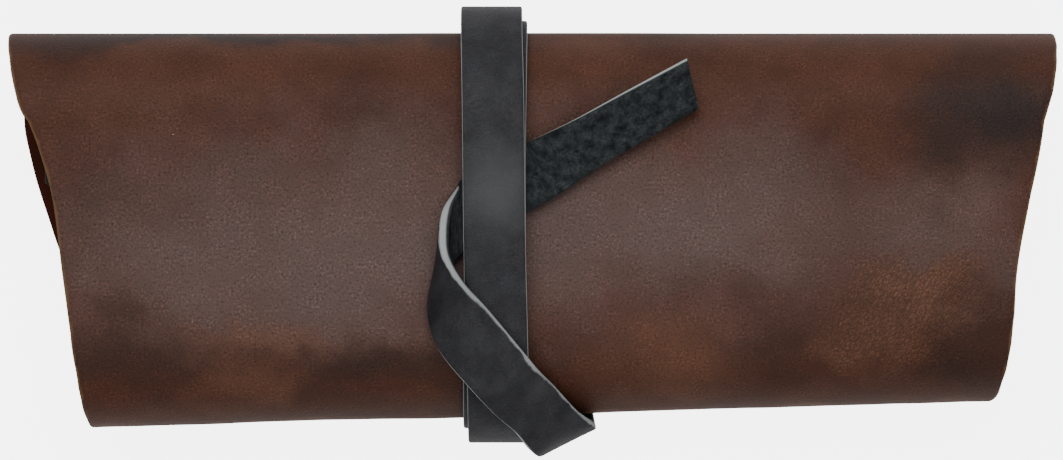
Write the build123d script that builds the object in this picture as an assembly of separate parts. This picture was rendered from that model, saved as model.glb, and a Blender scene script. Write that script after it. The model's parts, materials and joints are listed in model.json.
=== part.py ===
"""A roll-up pencil case: a tapered leather cover folded round a pencil pocket and tied with a wrapped strap.

X runs along the roll, +Y points to the wide fold and +Z away from the table. Millimetres.
The cover is cut into flat strips that meet at scored bends, so that it unrolls as a chain of hinges.
"""
from build123d import *
from math import cos, hypot, pi, radians, sin, tan
import os

# ---- Cover ------------------------------------------------------------------
LEATHER = 1.8                 # thickness of the cover leather
HEIGHT = 38.0                 # the rolled cover, table to front
REAR_Y = 42.0                 # outer face of the wide fold
FRONT_Y = -39.2               # outer face of the flap's end, at mid length
SLANT = 0.0333                # the flap's end runs askew by this much per mm of X
BEND_GAP = 0.15               # each strip stops this far short of a bend
WAIST_BEND_GAP = 0.5          # and this much further where the strap squeezes the roll
LAP_GAP = 1.0                 # air between the flap and the inner flap
END_GAP = 2.2                 # air between the flap's end and the inner fold
INNER_FLAP_END = -1.5         # free edge of the inner flap
WIDEST = 111.4                # half the cover's length at the wide fold

# ---- Strap ------------------------------------------------------------------
STRAP_X = -7.9                # centre of the wraps
STRAP_WIDTH = 13.0
STRAP = 2.2                   # thickness of the strap leather
STRAP_GAP = 0.4               # air between the strap and what it lies on
WRAP_GAP = 0.9                # air between the two wraps
FIXED_END_Y = 20.0            # the strap starts here, under the back panel
FIRST_WRAP_END_Y = 29.6
STEP_Y = (28.4, 21.0)         # between these the second wrap steps out from the first
LAST_STEP = 3.8               # the second wrap ends this far above the roll's lower rear corner
TUCK_Y = 7.0                  # where the tail passes under the middle of the wraps
TUCK_ROOM = 1.5               # the wraps bulge this far beyond the tuck on both sides
TUCK_PAST = (0.4, 0.2)        # the tuck reaches this far past the wraps' left and right edges
TAIL_ANGLE = radians(29.7)
STRAP_JOINT_GAP = 0.3         # between the lengths of strap that move against each other

# ---- Waist: the strap pulls the roll in from below ----------------------------
LAYER = STRAP + WRAP_GAP
UNDER_CLEARANCE = 0.4
WAIST = STRAP_GAP + 2 * LAYER + STRAP + UNDER_CLEARANCE - WRAP_GAP
WAIST_LEFT, WAIST_RIGHT = -17.5, 18.5     # between these the waist is even
WAIST_RAMP = 24.0
WAIST_TOP = 27.0              # above this height the waist leaves the roll as it is

# ---- Pencil pocket ------------------------------------------------------------
POCKET_LEATHER = 0.9
SLOT_RADIUS = 3.9
SLOT_LENGTH = 45.0
POCKET_LEFT = -102.9
POCKET_HEM = 9.0              # flat hem at the closed end
POCKET_EDGE_Y = 9.3           # long edge of the pocket on the back panel
POCKET_CORNER = 2.2
POCKET_BEND_GAP = 0.6
THREAD, THREAD_HEIGHT = 0.7, 0.35
STITCH, STITCH_PITCH = 2.6, 4.4
STITCH_MARGIN = 1.6

# ---- Rivets -------------------------------------------------------------------
RIVET_Y = (3.0, 15.0)
RIVET_SHANK, RIVET_CLEARANCE = 1.5, 0.1
RIVET_CAP, RIVET_CAP_THICK = 4.0, 0.9
RIVET_HEAD, RIVET_HEAD_THICK = 3.2, 0.8

EIGHTH = tan(pi / 8)          # half a facet over its apothem in an octagon


def waist_at(x):
    """Height of the roll's underside at x."""
    away = max(WAIST_LEFT - x, x - WAIST_RIGHT, 0.0)
    return WAIST * max(0.0, 1 - away / WAIST_RAMP)


def squeezed(z, x):
    """Height at x of what lies at z away from the waist: the back panel keeps its thickness."""
    share = 1 - max(0.0, z - LEATHER) / (WAIST_TOP - LEATHER)
    return z + waist_at(x) * max(0.0, share)


def fold(side_y, base, top, sign, inset=LEATHER):
    """Corners of a fold, table side first: four bends of 45 degrees round half an octagon."""
    apothem = (top - base) / 2
    centre_y, centre_z = side_y - sign * apothem, base + apothem
    reach = apothem - inset
    half = reach * EIGHTH
    return [
        (centre_y + sign * half, centre_z - reach),
        (centre_y + sign * reach, centre_z - half),
        (centre_y + sign * reach, centre_z + half),
        (centre_y + sign * half, centre_z + reach),
    ]


INNER_TOP = HEIGHT - LEATHER - LAP_GAP
INNER_Y = FRONT_Y + LEATHER + END_GAP
REAR = fold(REAR_Y, 0, HEIGHT, 1)
END = fold(FRONT_Y, 0, HEIGHT, -1)
INNER = fold(INNER_Y, 0, INNER_TOP, -1)

# How far each strip's left and right ends lie inside WIDEST, at its start and at its end.
LEFT_INSET = {
    "back_panel": (2.2, 16.8),
    "wide_fold_low": (0, 2.2),
    "wide_fold_mid": (0, 0),
    "wide_fold_high": (0, 3.4),
    "front_flap": (3.4, 15.2),
    "flap_end_bend": (15.2, 16.8),
    "flap_end": (16.8, 18.0),
    "inner_fold_low": (16.8, 18.8),
    "inner_fold_mid": (18.8, 20.8),
    "inner_fold_high": (20.8, 22.8),
    "inner_flap": (22.8, 27.4),
}
RIGHT_INSET = {
    "back_panel": (1.8, 13.4),
    "wide_fold_low": (0, 1.8),
    "wide_fold_mid": (0, 0),
    "wide_fold_high": (0, 1.4),
    "front_flap": (1.4, 11.0),
    "flap_end_bend": (11.0, 12.2),
    "flap_end": (12.2, 13.0),
    "inner_fold_low": (13.4, 15.0),
    "inner_fold_mid": (15.0, 16.6),
    "inner_fold_high": (16.6, 18.2),
    "inner_flap": (18.2, 21.0),
}


def ends(name):
    """X of a strip's left and right ends, each at its start and at its end."""
    left = tuple(inset - WIDEST for inset in LEFT_INSET[name])
    right = tuple(WIDEST - inset for inset in RIGHT_INSET[name])
    return left, right


def polygon(points):
    return Face(Wire.make_polygon(points, close=True))


def strip(name, start, end, skew=(0, 0), out=1):
    """A flat strip of leather from one inner corner to the next, its thickness outwards.

    skew gives how much of the flap end's slant each of the two corners has.
    """
    length = hypot(end[0] - start[0], end[1] - start[1])
    uy, uz = (end[0] - start[0]) / length, (end[1] - start[1]) / length
    ny, nz = out * uz * LEATHER, -out * uy * LEATHER

    def section(x_start, x_end):
        gap = BEND_GAP + WAIST_BEND_GAP * waist_at(x_start) / WAIST
        a = (start[0] + gap * uy, start[1] + gap * uz)
        b = (end[0] - gap * uy, end[1] - gap * uz)
        corners = [
            (a, x_start, skew[0]),
            (b, x_end, skew[1]),
            ((b[0] + ny, b[1] + nz), x_end, skew[1]),
            ((a[0] + ny, a[1] + nz), x_start, skew[0]),
        ]
        return polygon([Vector(x, y + SLANT * s * x, squeezed(z, x)) for (y, z), x, s in corners])

    (left_start, left_end), (right_start, right_end) = ends(name)
    stations = [WAIST_LEFT - WAIST_RAMP, WAIST_LEFT, WAIST_RIGHT, WAIST_RIGHT + WAIST_RAMP]
    sections = [section(left_start, left_end), *[section(x, x) for x in stations]]
    return loft([*sections, section(right_start, right_end)], ruled=True)


def back_panel():
    """The panel on the table, from the wide fold to the inner fold, raised at the waist."""
    (left_rear, left_front), (right_rear, right_front) = ends("back_panel")
    xs = [-WIDEST, WAIST_LEFT - WAIST_RAMP, WAIST_LEFT, WAIST_RIGHT, WAIST_RIGHT + WAIST_RAMP, WIDEST]
    under = [Vector(x, 0, waist_at(x)) for x in xs]
    over = [Vector(x, 0, waist_at(x) + LEATHER) for x in reversed(xs)]
    sheet = extrude(polygon(under + over), amount=WIDEST, dir=(0, 1, 0), both=True)

    def edge(y, gap, x, skew):
        return Vector(x, y + gap + SLANT * skew * x, 0)

    wide = BEND_GAP + WAIST_BEND_GAP
    rear, front = REAR[0][0], INNER[0][0]
    outline = [
        edge(rear, -BEND_GAP, left_rear, 0),
        *[edge(rear, -BEND_GAP if x in (xs[1], xs[4]) else -wide, x, 0) for x in xs[1:5]],
        edge(rear, -BEND_GAP, right_rear, 0),
        edge(front, BEND_GAP, right_front, 1),
        *[edge(front, BEND_GAP if x in (xs[1], xs[4]) else wide, x, 1) for x in xs[4:0:-1]],
        edge(front, BEND_GAP, left_front, 1),
    ]
    panel = sheet & extrude(polygon(outline), amount=HEIGHT, dir=(0, 0, 1))
    for y in RIVET_Y:
        panel -= Pos(STRAP_X, y, WAIST) * Cylinder(RIVET_SHANK + RIVET_CLEARANCE, 4 * LEATHER)
    return panel


def cover():
    """Every strip of the cover by name, from the table round each fold."""
    free_edge = (INNER_FLAP_END, INNER[3][1])
    return {
        "back_panel": back_panel(),
        "wide_fold_low": strip("wide_fold_low", REAR[1], REAR[0], out=-1),
        "wide_fold_mid": strip("wide_fold_mid", REAR[1], REAR[2]),
        "wide_fold_high": strip("wide_fold_high", REAR[2], REAR[3]),
        "front_flap": strip("front_flap", REAR[3], END[3], skew=(0, 1)),
        "flap_end_bend": strip("flap_end_bend", END[3], END[2], skew=(1, 1)),
        "flap_end": strip("flap_end", END[2], END[1], skew=(1, 1)),
        "inner_fold_low": strip("inner_fold_low", INNER[0], INNER[1], skew=(1, 1), out=-1),
        "inner_fold_mid": strip("inner_fold_mid", INNER[1], INNER[2], skew=(1, 1), out=-1),
        "inner_fold_high": strip("inner_fold_high", INNER[2], INNER[3], skew=(1, 1), out=-1),
        "inner_flap": strip("inner_flap", INNER[3], free_edge, skew=(1, 1), out=-1),
    }


# ---- Pencil pocket ------------------------------------------------------------
# One slot lies in each facet of the wide fold and one beside it on the back panel.
POCKET_FACETS = {
    "back": ((2 * (REAR_Y - HEIGHT / 2) - REAR[0][0], LEATHER), REAR[0]),
    "fold_low": (REAR[0], REAR[1]),
    "fold_mid": (REAR[1], REAR[2]),
    "fold_high": (REAR[2], REAR[3]),
}
FACET = 2 * (HEIGHT / 2 - LEATHER) * EIGHTH
SLOT_LEFT = POCKET_LEFT + POCKET_HEM
SLOT_OUTSIDE = SLOT_RADIUS + POCKET_LEATHER


def pocket_plane(facet):
    """The facet's own frame: X along the roll, Y round the cover, Z into the roll."""
    start, end = POCKET_FACETS[facet]
    across = ((end[0] - start[0]) / FACET, (end[1] - start[1]) / FACET)
    return Plane(origin=(0, start[0], start[1]), x_dir=(1, 0, 0), z_dir=(0, -across[1], across[0]))


def pocket_start(facet):
    """Where the pocket leather starts, round the cover from the facet's first corner."""
    return POCKET_EDGE_Y - POCKET_FACETS["back"][0][0] if facet == "back" else POCKET_BEND_GAP


def arch(radius, length):
    """A slot's section, straight-sided below its middle and round above, drawn out along X."""
    section = Circle(radius) + Pos(0, -SLOT_RADIUS / 2) * Rectangle(2 * radius, SLOT_RADIUS)
    section -= Pos(0, -SLOT_RADIUS - radius) * Rectangle(4 * radius, 2 * radius)
    upright = Plane(origin=(0, FACET / 2, SLOT_RADIUS), x_dir=(0, 1, 0), z_dir=(1, 0, 0))
    return extrude(upright * section, amount=length)


def pocket(facet):
    """One slot of the pocket with its flat hems, sewn to the inside of the cover."""
    start, stop = pocket_start(facet), FACET - POCKET_BEND_GAP
    length = POCKET_HEM + SLOT_LENGTH
    sheet = Pos(POCKET_LEFT + length / 2, (start + stop) / 2, POCKET_LEATHER / 2) * Box(
        length, stop - start, POCKET_LEATHER)
    if facet == "back":
        corners = sheet.edges().filter_by(Axis.Z).sort_by(Axis.Y)[:2]
        sheet = fillet(corners, POCKET_CORNER)
    slot = Pos(SLOT_LEFT, 0, 0) * arch(SLOT_OUTSIDE, SLOT_LENGTH)
    hollow = Pos(SLOT_LEFT + POCKET_LEATHER, 0, 0) * arch(SLOT_RADIUS, SLOT_LENGTH)
    return pocket_plane(facet).location * (sheet + slot - hollow)


def stitches(facet):
    """Thread along the slot, along the pocket's long edge and across its closed end."""
    start = pocket_start(facet)
    beside = SLOT_OUTSIDE + THREAD
    rows = [FACET / 2 - beside, FACET / 2 + beside]
    if facet == "back":
        rows.append(start + STITCH_MARGIN)
    count = int((SLOT_LENGTH - STITCH) // STITCH_PITCH)
    along = Box(STITCH, THREAD, THREAD_HEIGHT)
    level = POCKET_LEATHER + THREAD_HEIGHT / 2
    threads = [
        Pos(SLOT_LEFT + STITCH + i * STITCH_PITCH, row, level) * along for row in rows for i in range(count)]
    row = start + STITCH_MARGIN + STITCH
    while row < FACET - POCKET_BEND_GAP - STITCH:
        threads.append(Pos(POCKET_LEFT + STITCH_MARGIN, row, level) * Box(THREAD, STITCH, THREAD_HEIGHT))
        row += STITCH_PITCH
    return Compound([pocket_plane(facet).location * thread for thread in threads])


# ---- Strap ------------------------------------------------------------------
STRAP_LEFT, STRAP_RIGHT = STRAP_X - STRAP_WIDTH / 2, STRAP_X + STRAP_WIDTH / 2
TUCK_Z = HEIGHT + STRAP_GAP + STRAP / 2
PULL = Vector(cos(TAIL_ANGLE), sin(TAIL_ANGLE), 0)
ACROSS = Vector(-sin(TAIL_ANGLE), cos(TAIL_ANGLE), 0)


def tuck_edges(upper_x):
    """Upper and lower edge of the tucked strap, square across it, where its upper edge is at upper_x."""
    centre_x = upper_x - ACROSS.X * STRAP_WIDTH / 2
    centre = Vector(centre_x, TUCK_Y + (centre_x - STRAP_X) * tan(TAIL_ANGLE), TUCK_Z)
    return centre + ACROSS * (STRAP_WIDTH / 2), centre - ACROSS * (STRAP_WIDTH / 2)


def wrap_path():
    """The line the strap is pulled tight over, from its fixed end round the front and back to its start."""
    skewed = SLANT * (abs(STRAP_X) + STRAP_WIDTH / 2)
    front = [(y - skewed, z) for y, z in fold(FRONT_Y, 0, HEIGHT, -1, inset=0)]
    inner = fold(INNER_Y, 0, INNER_TOP, -1, inset=0)
    rear = fold(REAR_Y, 0, HEIGHT, 1, inset=0)
    bulge = TUCK_Z + STRAP / 2
    first = tuck_edges(STRAP_LEFT)[1].Y
    last = tuck_edges(STRAP_RIGHT)[0].Y
    corners = [
        (FIXED_END_Y, 0), (inner[0][0] - skewed, 0), *front[1:],
        (first - TUCK_ROOM, bulge), (last + TUCK_ROOM, bulge),
        *reversed(rear), (FIRST_WRAP_END_Y, 0),
    ]
    return [(y, squeezed(z, STRAP_X)) for y, z in corners]


def outward(path, distance):
    """The path moved out by a distance, its corners mitred."""
    normals = []
    for (y0, z0), (y1, z1) in zip(path, path[1:]):
        length = hypot(y1 - y0, z1 - z0)
        normals.append(((z0 - z1) / length, (y1 - y0) / length))
    moved = []
    for (y, z), before, after in zip(path, [normals[0], *normals], [*normals, normals[-1]]):
        reach = distance / (1 + before[0] * after[0] + before[1] * after[1])
        moved.append((y + (before[0] + after[0]) * reach, z + (before[1] + after[1]) * reach))
    return moved


def band(inside):
    """A length of strap with its inner face along a path, as wide as the strap."""
    loop = inside + outward(inside, STRAP)[::-1]
    return extrude(polygon([Vector(STRAP_LEFT, y, z) for y, z in loop]), amount=STRAP_WIDTH, dir=(1, 0, 0))


def first_wrap():
    """The wrap on the cover, its fixed end drilled and sunk for the rivets."""
    wrap = band(outward(wrap_path(), STRAP_GAP))
    outside = WAIST - STRAP_GAP - STRAP
    for y in RIVET_Y:
        wrap -= Pos(STRAP_X, y, WAIST) * Cylinder(RIVET_SHANK + RIVET_CLEARANCE, 4 * LEATHER)
        wrap -= Pos(STRAP_X, y, outside) * Cylinder(RIVET_HEAD + RIVET_CLEARANCE, 2 * RIVET_HEAD_THICK)
    return wrap


def second_wrap():
    """The wrap over the first, stepping out under the roll and ending above its lower rear corner."""
    path = wrap_path()
    (y0, z0), (y1, z1) = path[-2], path[-3]
    length = hypot(y1 - y0, z1 - z0)
    last = (y0 + (y1 - y0) * LAST_STEP / length, z0 + (z1 - z0) * LAST_STEP / length)
    round_roll = outward([*path[:-2], last], STRAP_GAP + LAYER)
    step = [(STEP_Y[0], WAIST - STRAP_GAP), (STEP_Y[1], WAIST - STRAP_GAP - LAYER)]
    return band([*step, *round_roll[1:]])


def ribbon_sections(edges):
    """Sections of a twisting strap through pairs of edge points on its middle surface."""
    middles = [(upper + lower) * 0.5 for upper, lower in edges]
    sections = []
    for i, (upper, lower) in enumerate(edges):
        along = middles[min(i + 1, len(edges) - 1)] - middles[max(i - 1, 0)]
        half = (upper - lower).cross(along).normalized() * (STRAP / 2)
        sections.append(polygon([upper + half, lower + half, lower - half, upper - half]))
    return sections


def ribbon(edges):
    """A twisting length of strap through pairs of edge points."""
    return loft(ribbon_sections(edges), ruled=True)


def lift(layers):
    """Height of the strap's middle surface above what it lies on, with so many layers between."""
    return STRAP_GAP + STRAP / 2 + layers * LAYER


def over(across, corner, layers):
    """A point on the strap's middle surface, over the wraps.

    across is in strap widths from the wraps' centre, and corner counts along the wrap's path.
    """
    path = outward(wrap_path(), lift(layers))
    before = min(int(corner), len(path) - 2)
    (y0, z0), (y1, z1) = path[before], path[before + 1]
    share = corner - before
    return Vector(STRAP_X + across * STRAP_WIDTH, y0 + (y1 - y0) * share, z0 + (z1 - z0) * share)


def front(across, y, layers):
    """A point on the strap's middle surface, above the front flap."""
    return Vector(STRAP_X + across * STRAP_WIDTH, y, HEIGHT + lift(layers))


def under(across, y):
    """A point on the strap's middle surface where it lies on the table."""
    return Vector(STRAP_X + across * STRAP_WIDTH, y, STRAP / 2)


def loose_run():
    """The strap's edge points from where it leaves the wraps: under the roll, up over them and round."""
    path = outward(wrap_path(), STRAP_GAP + LAYER + STRAP / 2)
    (y0, z0), (y1, z1) = path[-2], path[-3]
    share = LAST_STEP / hypot(y1 - y0, z1 - z0)
    y, z = y0 + (y1 - y0) * share, z0 + (z1 - z0) * share
    under_roll = [
        (Vector(STRAP_RIGHT, y, z), Vector(STRAP_LEFT, y, z)),
        (under(0.56, 28.5), under(-0.44, 28.5)),
        (under(1.36, -29.0), under(0.37, -27.6)),
    ]
    across_wraps = [
        (over(1.53, 1.38, 1.3), over(0.53, 1.38, 2.3)),
        (over(1.64, 1.94, 0.15), over(0.70, 1.98, 1.2)),
        (over(1.64, 2.56, 0.05), over(0.76, 2.56, 1.70)),
        (over(1.59, 3.08, 0.15), over(0.73, 2.94, 1.9)),
        (over(1.30, 3.42, 0.6), over(0.61, 3.22, 3.0)),
        (over(0.94, 3.84, 0.7), over(0.34, 3.46, 2.9)),
        (over(0.68, 4.12, 2.2), over(0.01, 3.69, 2.8)),
        (over(0.42, 4.26, 2.25), over(-0.32, 3.93, 2.5)),
        (over(-0.12, 4.54, 2.2), over(-0.79, 4.19, 2.2)),
    ]
    shift = PULL * STRAP_JOINT_GAP
    turned = [
        (front(-0.50, -11.0, 2.8), front(-0.98, -20.5, 1.0)),
        (front(-0.75, -5.6, 2.45), front(-1.00, -15.5, 0.35)),
        (front(-0.80, -0.6, 1.7), front(-0.92, -11.5, 0.1)),
        (front(-0.75, 4.6, 0.65), front(-0.73, -8.2, 0.0)),
        (front(-0.59, 8.6, 0.0), front(-0.46, -4.3, 0.0)),
        tuple(edge - shift for edge in tuck_edges(STRAP_LEFT - TUCK_PAST[0])),
    ]
    return under_roll, across_wraps, turned


def ribbons():
    """The loose end of the strap by name: under the roll, over the wraps, turned, tucked and hanging out."""
    under_roll, across_wraps, turned = loose_run()
    sections = ribbon_sections([*under_roll, *across_wraps, *turned])
    first_cut = len(under_roll)
    second_cut = first_cut + len(across_wraps)
    tucked = tuck_edges(STRAP_LEFT - TUCK_PAST[0]), tuck_edges(STRAP_RIGHT + TUCK_PAST[1])
    return {
        "strap_back_pass": loft(sections[:first_cut], ruled=True),
        "strap_diagonal": loft(sections[first_cut - 1:second_cut], ruled=True),
        "strap_turn": loft(sections[second_cut - 1:], ruled=True),
        "strap_tuck": ribbon(tucked),
        "strap_tail": ribbon([
            tuple(edge + PULL * STRAP_JOINT_GAP for edge in tucked[1]),
            (front(1.26, 22.8, 0.55), front(1.67, 12.9, 0.0)),
            (front(2.15, 29.0, 1.3), front(2.53, 19.7, 0.2)),
            (front(3.11, 35.6, 1.9), front(3.30, 25.7, 0.4)),
        ]),
    }


# ---- Rivets -------------------------------------------------------------------
def rivet_posts():
    """Caps inside the roll, each with its post down through the leather and the strap."""
    top = WAIST + LEATHER
    bottom = WAIST - STRAP_GAP - STRAP + RIVET_HEAD_THICK
    post = Pos(0, 0, (top + bottom) / 2) * Cylinder(RIVET_SHANK, top - bottom)
    cap = Pos(0, 0, top + RIVET_CAP_THICK / 2) * Cylinder(RIVET_CAP, RIVET_CAP_THICK)
    return Compound([Pos(STRAP_X, y, 0) * (post + cap).solid() for y in RIVET_Y])


def rivet_heads():
    """Heads sunk into the strap's fixed end, under the posts."""
    level = WAIST - STRAP_GAP - STRAP + RIVET_HEAD_THICK / 2
    head = Cylinder(RIVET_HEAD, RIVET_HEAD_THICK).solid()
    return Compound([Pos(STRAP_X, y, level) * head for y in RIVET_Y])


def parts():
    """Every node of the pencil case by name."""
    pieces = cover()
    for facet in POCKET_FACETS:
        pieces["pocket_" + facet] = pocket(facet)
        pieces["stitches_" + facet] = stitches(facet)
    pieces["rivet_posts"] = rivet_posts()
    pieces["rivet_heads"] = rivet_heads()
    pieces["strap_first_wrap"] = first_wrap()
    pieces["strap_second_wrap"] = second_wrap()
    pieces.update(ribbons())
    return pieces


def main():
    os.makedirs("parts", exist_ok=True)
    for name, shape in parts().items():
        export_step(shape, "parts/" + name + ".step")


if __name__ == "__main__":
    main()
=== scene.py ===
"""A roll-up leather pencil case: cover, pocket, thread, rivets and the wrapped strap, with their finishes."""
from __future__ import annotations

import json
import logging
import math
from bisect import bisect_right
from dataclasses import dataclass, field, replace
from enum import IntEnum
from itertools import accumulate
from typing import Callable, Sequence

import bmesh
import bpy
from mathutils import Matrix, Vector, noise

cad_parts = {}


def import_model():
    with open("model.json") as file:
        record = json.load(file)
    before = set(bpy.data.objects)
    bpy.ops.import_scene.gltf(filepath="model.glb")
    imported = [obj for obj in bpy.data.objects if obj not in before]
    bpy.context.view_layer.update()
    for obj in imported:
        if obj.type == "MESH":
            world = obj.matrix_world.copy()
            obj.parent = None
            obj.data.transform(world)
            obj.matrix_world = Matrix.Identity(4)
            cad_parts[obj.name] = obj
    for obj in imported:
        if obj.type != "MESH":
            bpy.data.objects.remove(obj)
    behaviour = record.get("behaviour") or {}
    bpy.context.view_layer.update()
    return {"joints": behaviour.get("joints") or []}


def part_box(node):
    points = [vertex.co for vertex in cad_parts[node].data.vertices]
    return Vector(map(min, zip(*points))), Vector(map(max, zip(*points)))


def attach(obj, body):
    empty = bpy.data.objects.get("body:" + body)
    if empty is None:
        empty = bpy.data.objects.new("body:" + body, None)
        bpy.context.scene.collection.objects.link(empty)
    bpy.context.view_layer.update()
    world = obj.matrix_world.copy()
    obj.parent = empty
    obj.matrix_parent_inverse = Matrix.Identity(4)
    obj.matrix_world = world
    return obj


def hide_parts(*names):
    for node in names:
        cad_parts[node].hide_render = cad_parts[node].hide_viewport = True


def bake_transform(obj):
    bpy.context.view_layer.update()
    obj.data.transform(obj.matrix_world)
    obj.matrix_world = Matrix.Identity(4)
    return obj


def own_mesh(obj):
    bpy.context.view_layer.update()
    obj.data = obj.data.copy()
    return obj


LOG = logging.getLogger("pencil_case")
MM = 0.001
ON_END = 1e-4         # share of a grid that still counts as its end
SHORTEST_SIDE = 0.0101  # least flat side that a sheet may be declared with, in metres

Point = tuple[float, float]
Pair = tuple[Vector, Vector]
Place = Callable[[float, float], Vector]


class Face(IntEnum):
    """Material slots of a piece of leather."""

    GRAIN = 0
    FLESH = 1
    CUT = 2


# ---- Curves ----


def smooth(t: float) -> float:
    """Ease t from 0 to 1, and hold it there outside."""
    t = min(max(t, 0.0), 1.0)
    return t * t * (3 - 2 * t)


def quadratic(a: Point, b: Point, c: Point, t: float) -> Point:
    """Point at t on the curve that leaves a towards b and arrives at c."""
    u = 1 - t
    return (
        u * u * a[0] + 2 * u * t * b[0] + t * t * c[0],
        u * u * a[1] + 2 * u * t * b[1] + t * t * c[1],
    )


def hermite(knots: Sequence[Point], q: float) -> float:
    """Smooth curve through knots.

    Args:
        knots: pairs of position and value, in order of position.
        q: where to read the curve.

    Returns:
        The value at q.
    """
    last = len(knots) - 1
    i = min(max(bisect_right(knots, (q, math.inf)) - 1, 0), last - 1)
    (q0, v0), (q1, v1) = knots[i], knots[i + 1]
    before, after = knots[max(i - 1, 0)], knots[min(i + 2, last)]
    span = q1 - q0
    m0 = (v1 - before[1]) / (q1 - before[0]) * span
    m1 = (after[1] - v0) / (after[0] - q0) * span
    t = min(max((q - q0) / span, 0.0), 1.0)
    t2, t3 = t * t, t * t * t
    return v0 * (2 * t3 - 3 * t2 + 1) + m0 * (t3 - 2 * t2 + t) + v1 * (3 * t2 - 2 * t3) + m1 * (t3 - t2)


def outward(path: Sequence[Point], distance: float) -> list[Point]:
    """Path moved out by a distance, its corners mitred.

    Args:
        path: corners in the Y-Z plane.
        distance: how far out, in metres.

    Returns:
        The moved corners.
    """
    normals = []
    for (y0, z0), (y1, z1) in zip(path, path[1:]):
        length = math.hypot(y1 - y0, z1 - z0)
        normals.append(((z0 - z1) / length, (y1 - y0) / length))
    moved = []
    for (y, z), before, after in zip(path, [normals[0], *normals], [*normals, normals[-1]]):
        reach = distance / (1 + before[0] * after[0] + before[1] * after[1])
        moved.append((y + (before[0] + after[0]) * reach, z + (before[1] + after[1]) * reach))
    return moved


def between(a: Point, b: Point, share: float) -> Point:
    """Point at a share of the way from a to b."""
    return (a[0] + (b[0] - a[0]) * share, a[1] + (b[1] - a[1]) * share)


def toward(a: Point, b: Point, distance: float) -> Point:
    """Point at a distance from a on the way to b."""
    return between(a, b, distance / math.hypot(b[0] - a[0], b[1] - a[1]))


def lengths_along(points: Sequence[Point]) -> list[float]:
    """Length along a line at each of its points."""
    return list(accumulate(map(math.dist, points, points[1:]), initial=0.0))


def point_along(points: Sequence[Point], marks: Sequence[float], s: float) -> Point:
    """Point of a line at length s, where marks are the lengths at its points."""
    k = min(max(bisect_right(marks, s) - 1, 0), len(points) - 2)
    return between(points[k], points[k + 1], (s - marks[k]) / max(marks[k + 1] - marks[k], 1e-9))


def rounded(path: Sequence[Point], arm: float, steps: int = 8) -> list[Point]:
    """Path with each inner corner rounded.

    Args:
        path: corners in the Y-Z plane.
        arm: how far from a corner its bend may start.
        steps: points along each bend.

    Returns:
        The points of the rounded path.
    """
    points = [path[0]]
    for before, corner, after in zip(path, path[1:], path[2:]):
        reach = min(
            arm,
            math.dist(before, corner) * (0.995 if before == path[0] else 0.4999),
            math.dist(corner, after) * (0.995 if after == path[-1] else 0.4999),
        )
        start, end = toward(corner, before, reach), toward(corner, after, reach)
        points += [quadratic(start, corner, end, i / steps) for i in range(steps + 1)]
    return [*points, path[-1]]


def spline_point(points: Sequence[Vector], t: float) -> Vector:
    """Point at t, from 0 to 1, on a smooth curve through all points."""
    place = min(max(t, 0.0), 1.0) * (len(points) - 1)
    i = min(int(place), len(points) - 2)
    f = place - i
    p0, p1 = points[max(i - 1, 0)], points[i]
    p2, p3 = points[i + 1], points[min(i + 2, len(points) - 1)]
    return 0.5 * (
        2 * p1 + (p2 - p0) * f + (2 * p0 - 5 * p1 + 4 * p2 - p3) * f * f + (3 * p1 - p0 - 3 * p2 + p3) * f**3
    )


def ripple(x: float, y: float, seed: float, size: float) -> float:
    """Soft random value between about -1 and 1 whose bumps are of that size, in metres."""
    return noise.noise(Vector((x / size, y / size, seed)))


# ---- Leather sheets ----

EVEN_ROWS = 60       # from this many rows on, rows are even and don't crowd towards the ends
BORDER_ANGLE = 1.2   # radians between faces at a border that is rounded
CREASE_ANGLE = 1.1   # radians between faces that are shaded apart
TRACE = 0.15 * MM    # reach that tells the leather's direction where it comes to lie


def add_object(name: str, mesh: bmesh.types.BMesh, smooth: bool = False) -> bpy.types.Object:
    """Make a finished mesh an object at the origin, shaded smooth where asked."""
    data = bpy.data.meshes.new(name)
    mesh.to_mesh(data)
    mesh.free()
    if smooth:
        data.shade_smooth()
    made = bpy.data.objects.new(name, data)
    bpy.context.scene.collection.objects.link(made)
    return made


def dress(
    piece: bpy.types.Object, body: str | None, nodes: Sequence[str],
    materials: Sequence[bpy.types.Material],
) -> None:
    """Finish a piece and report it.

    Args:
        piece: the object.
        body: the body that it rides, or none where it bends between two.
        nodes: CAD nodes that it stands for.
        materials: in the order of its slots.
    """
    for material in materials:
        piece.data.materials.append(material)
    if nodes:
        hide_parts(*nodes)
    if body:
        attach(piece, body)
    LOG.info("%s: %d faces", piece.name, len(piece.data.polygons))


@dataclass(frozen=True)
class Cut:
    """A flat cut of leather before it is bent: how finely it is divided and which edges are free.

    Attributes:
        thickness: of the leather, in metres.
        columns: divisions across.
        rows: divisions along.
        free_start: the first end is a real edge rather than a seam with the next piece.
        free_end: the last end is a real edge.
        edge: how far the cut edges are rounded, in metres.
    """

    thickness: float
    columns: int
    rows: int
    free_start: bool = True
    free_end: bool = True
    edge: float = 0.35 * MM


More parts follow.
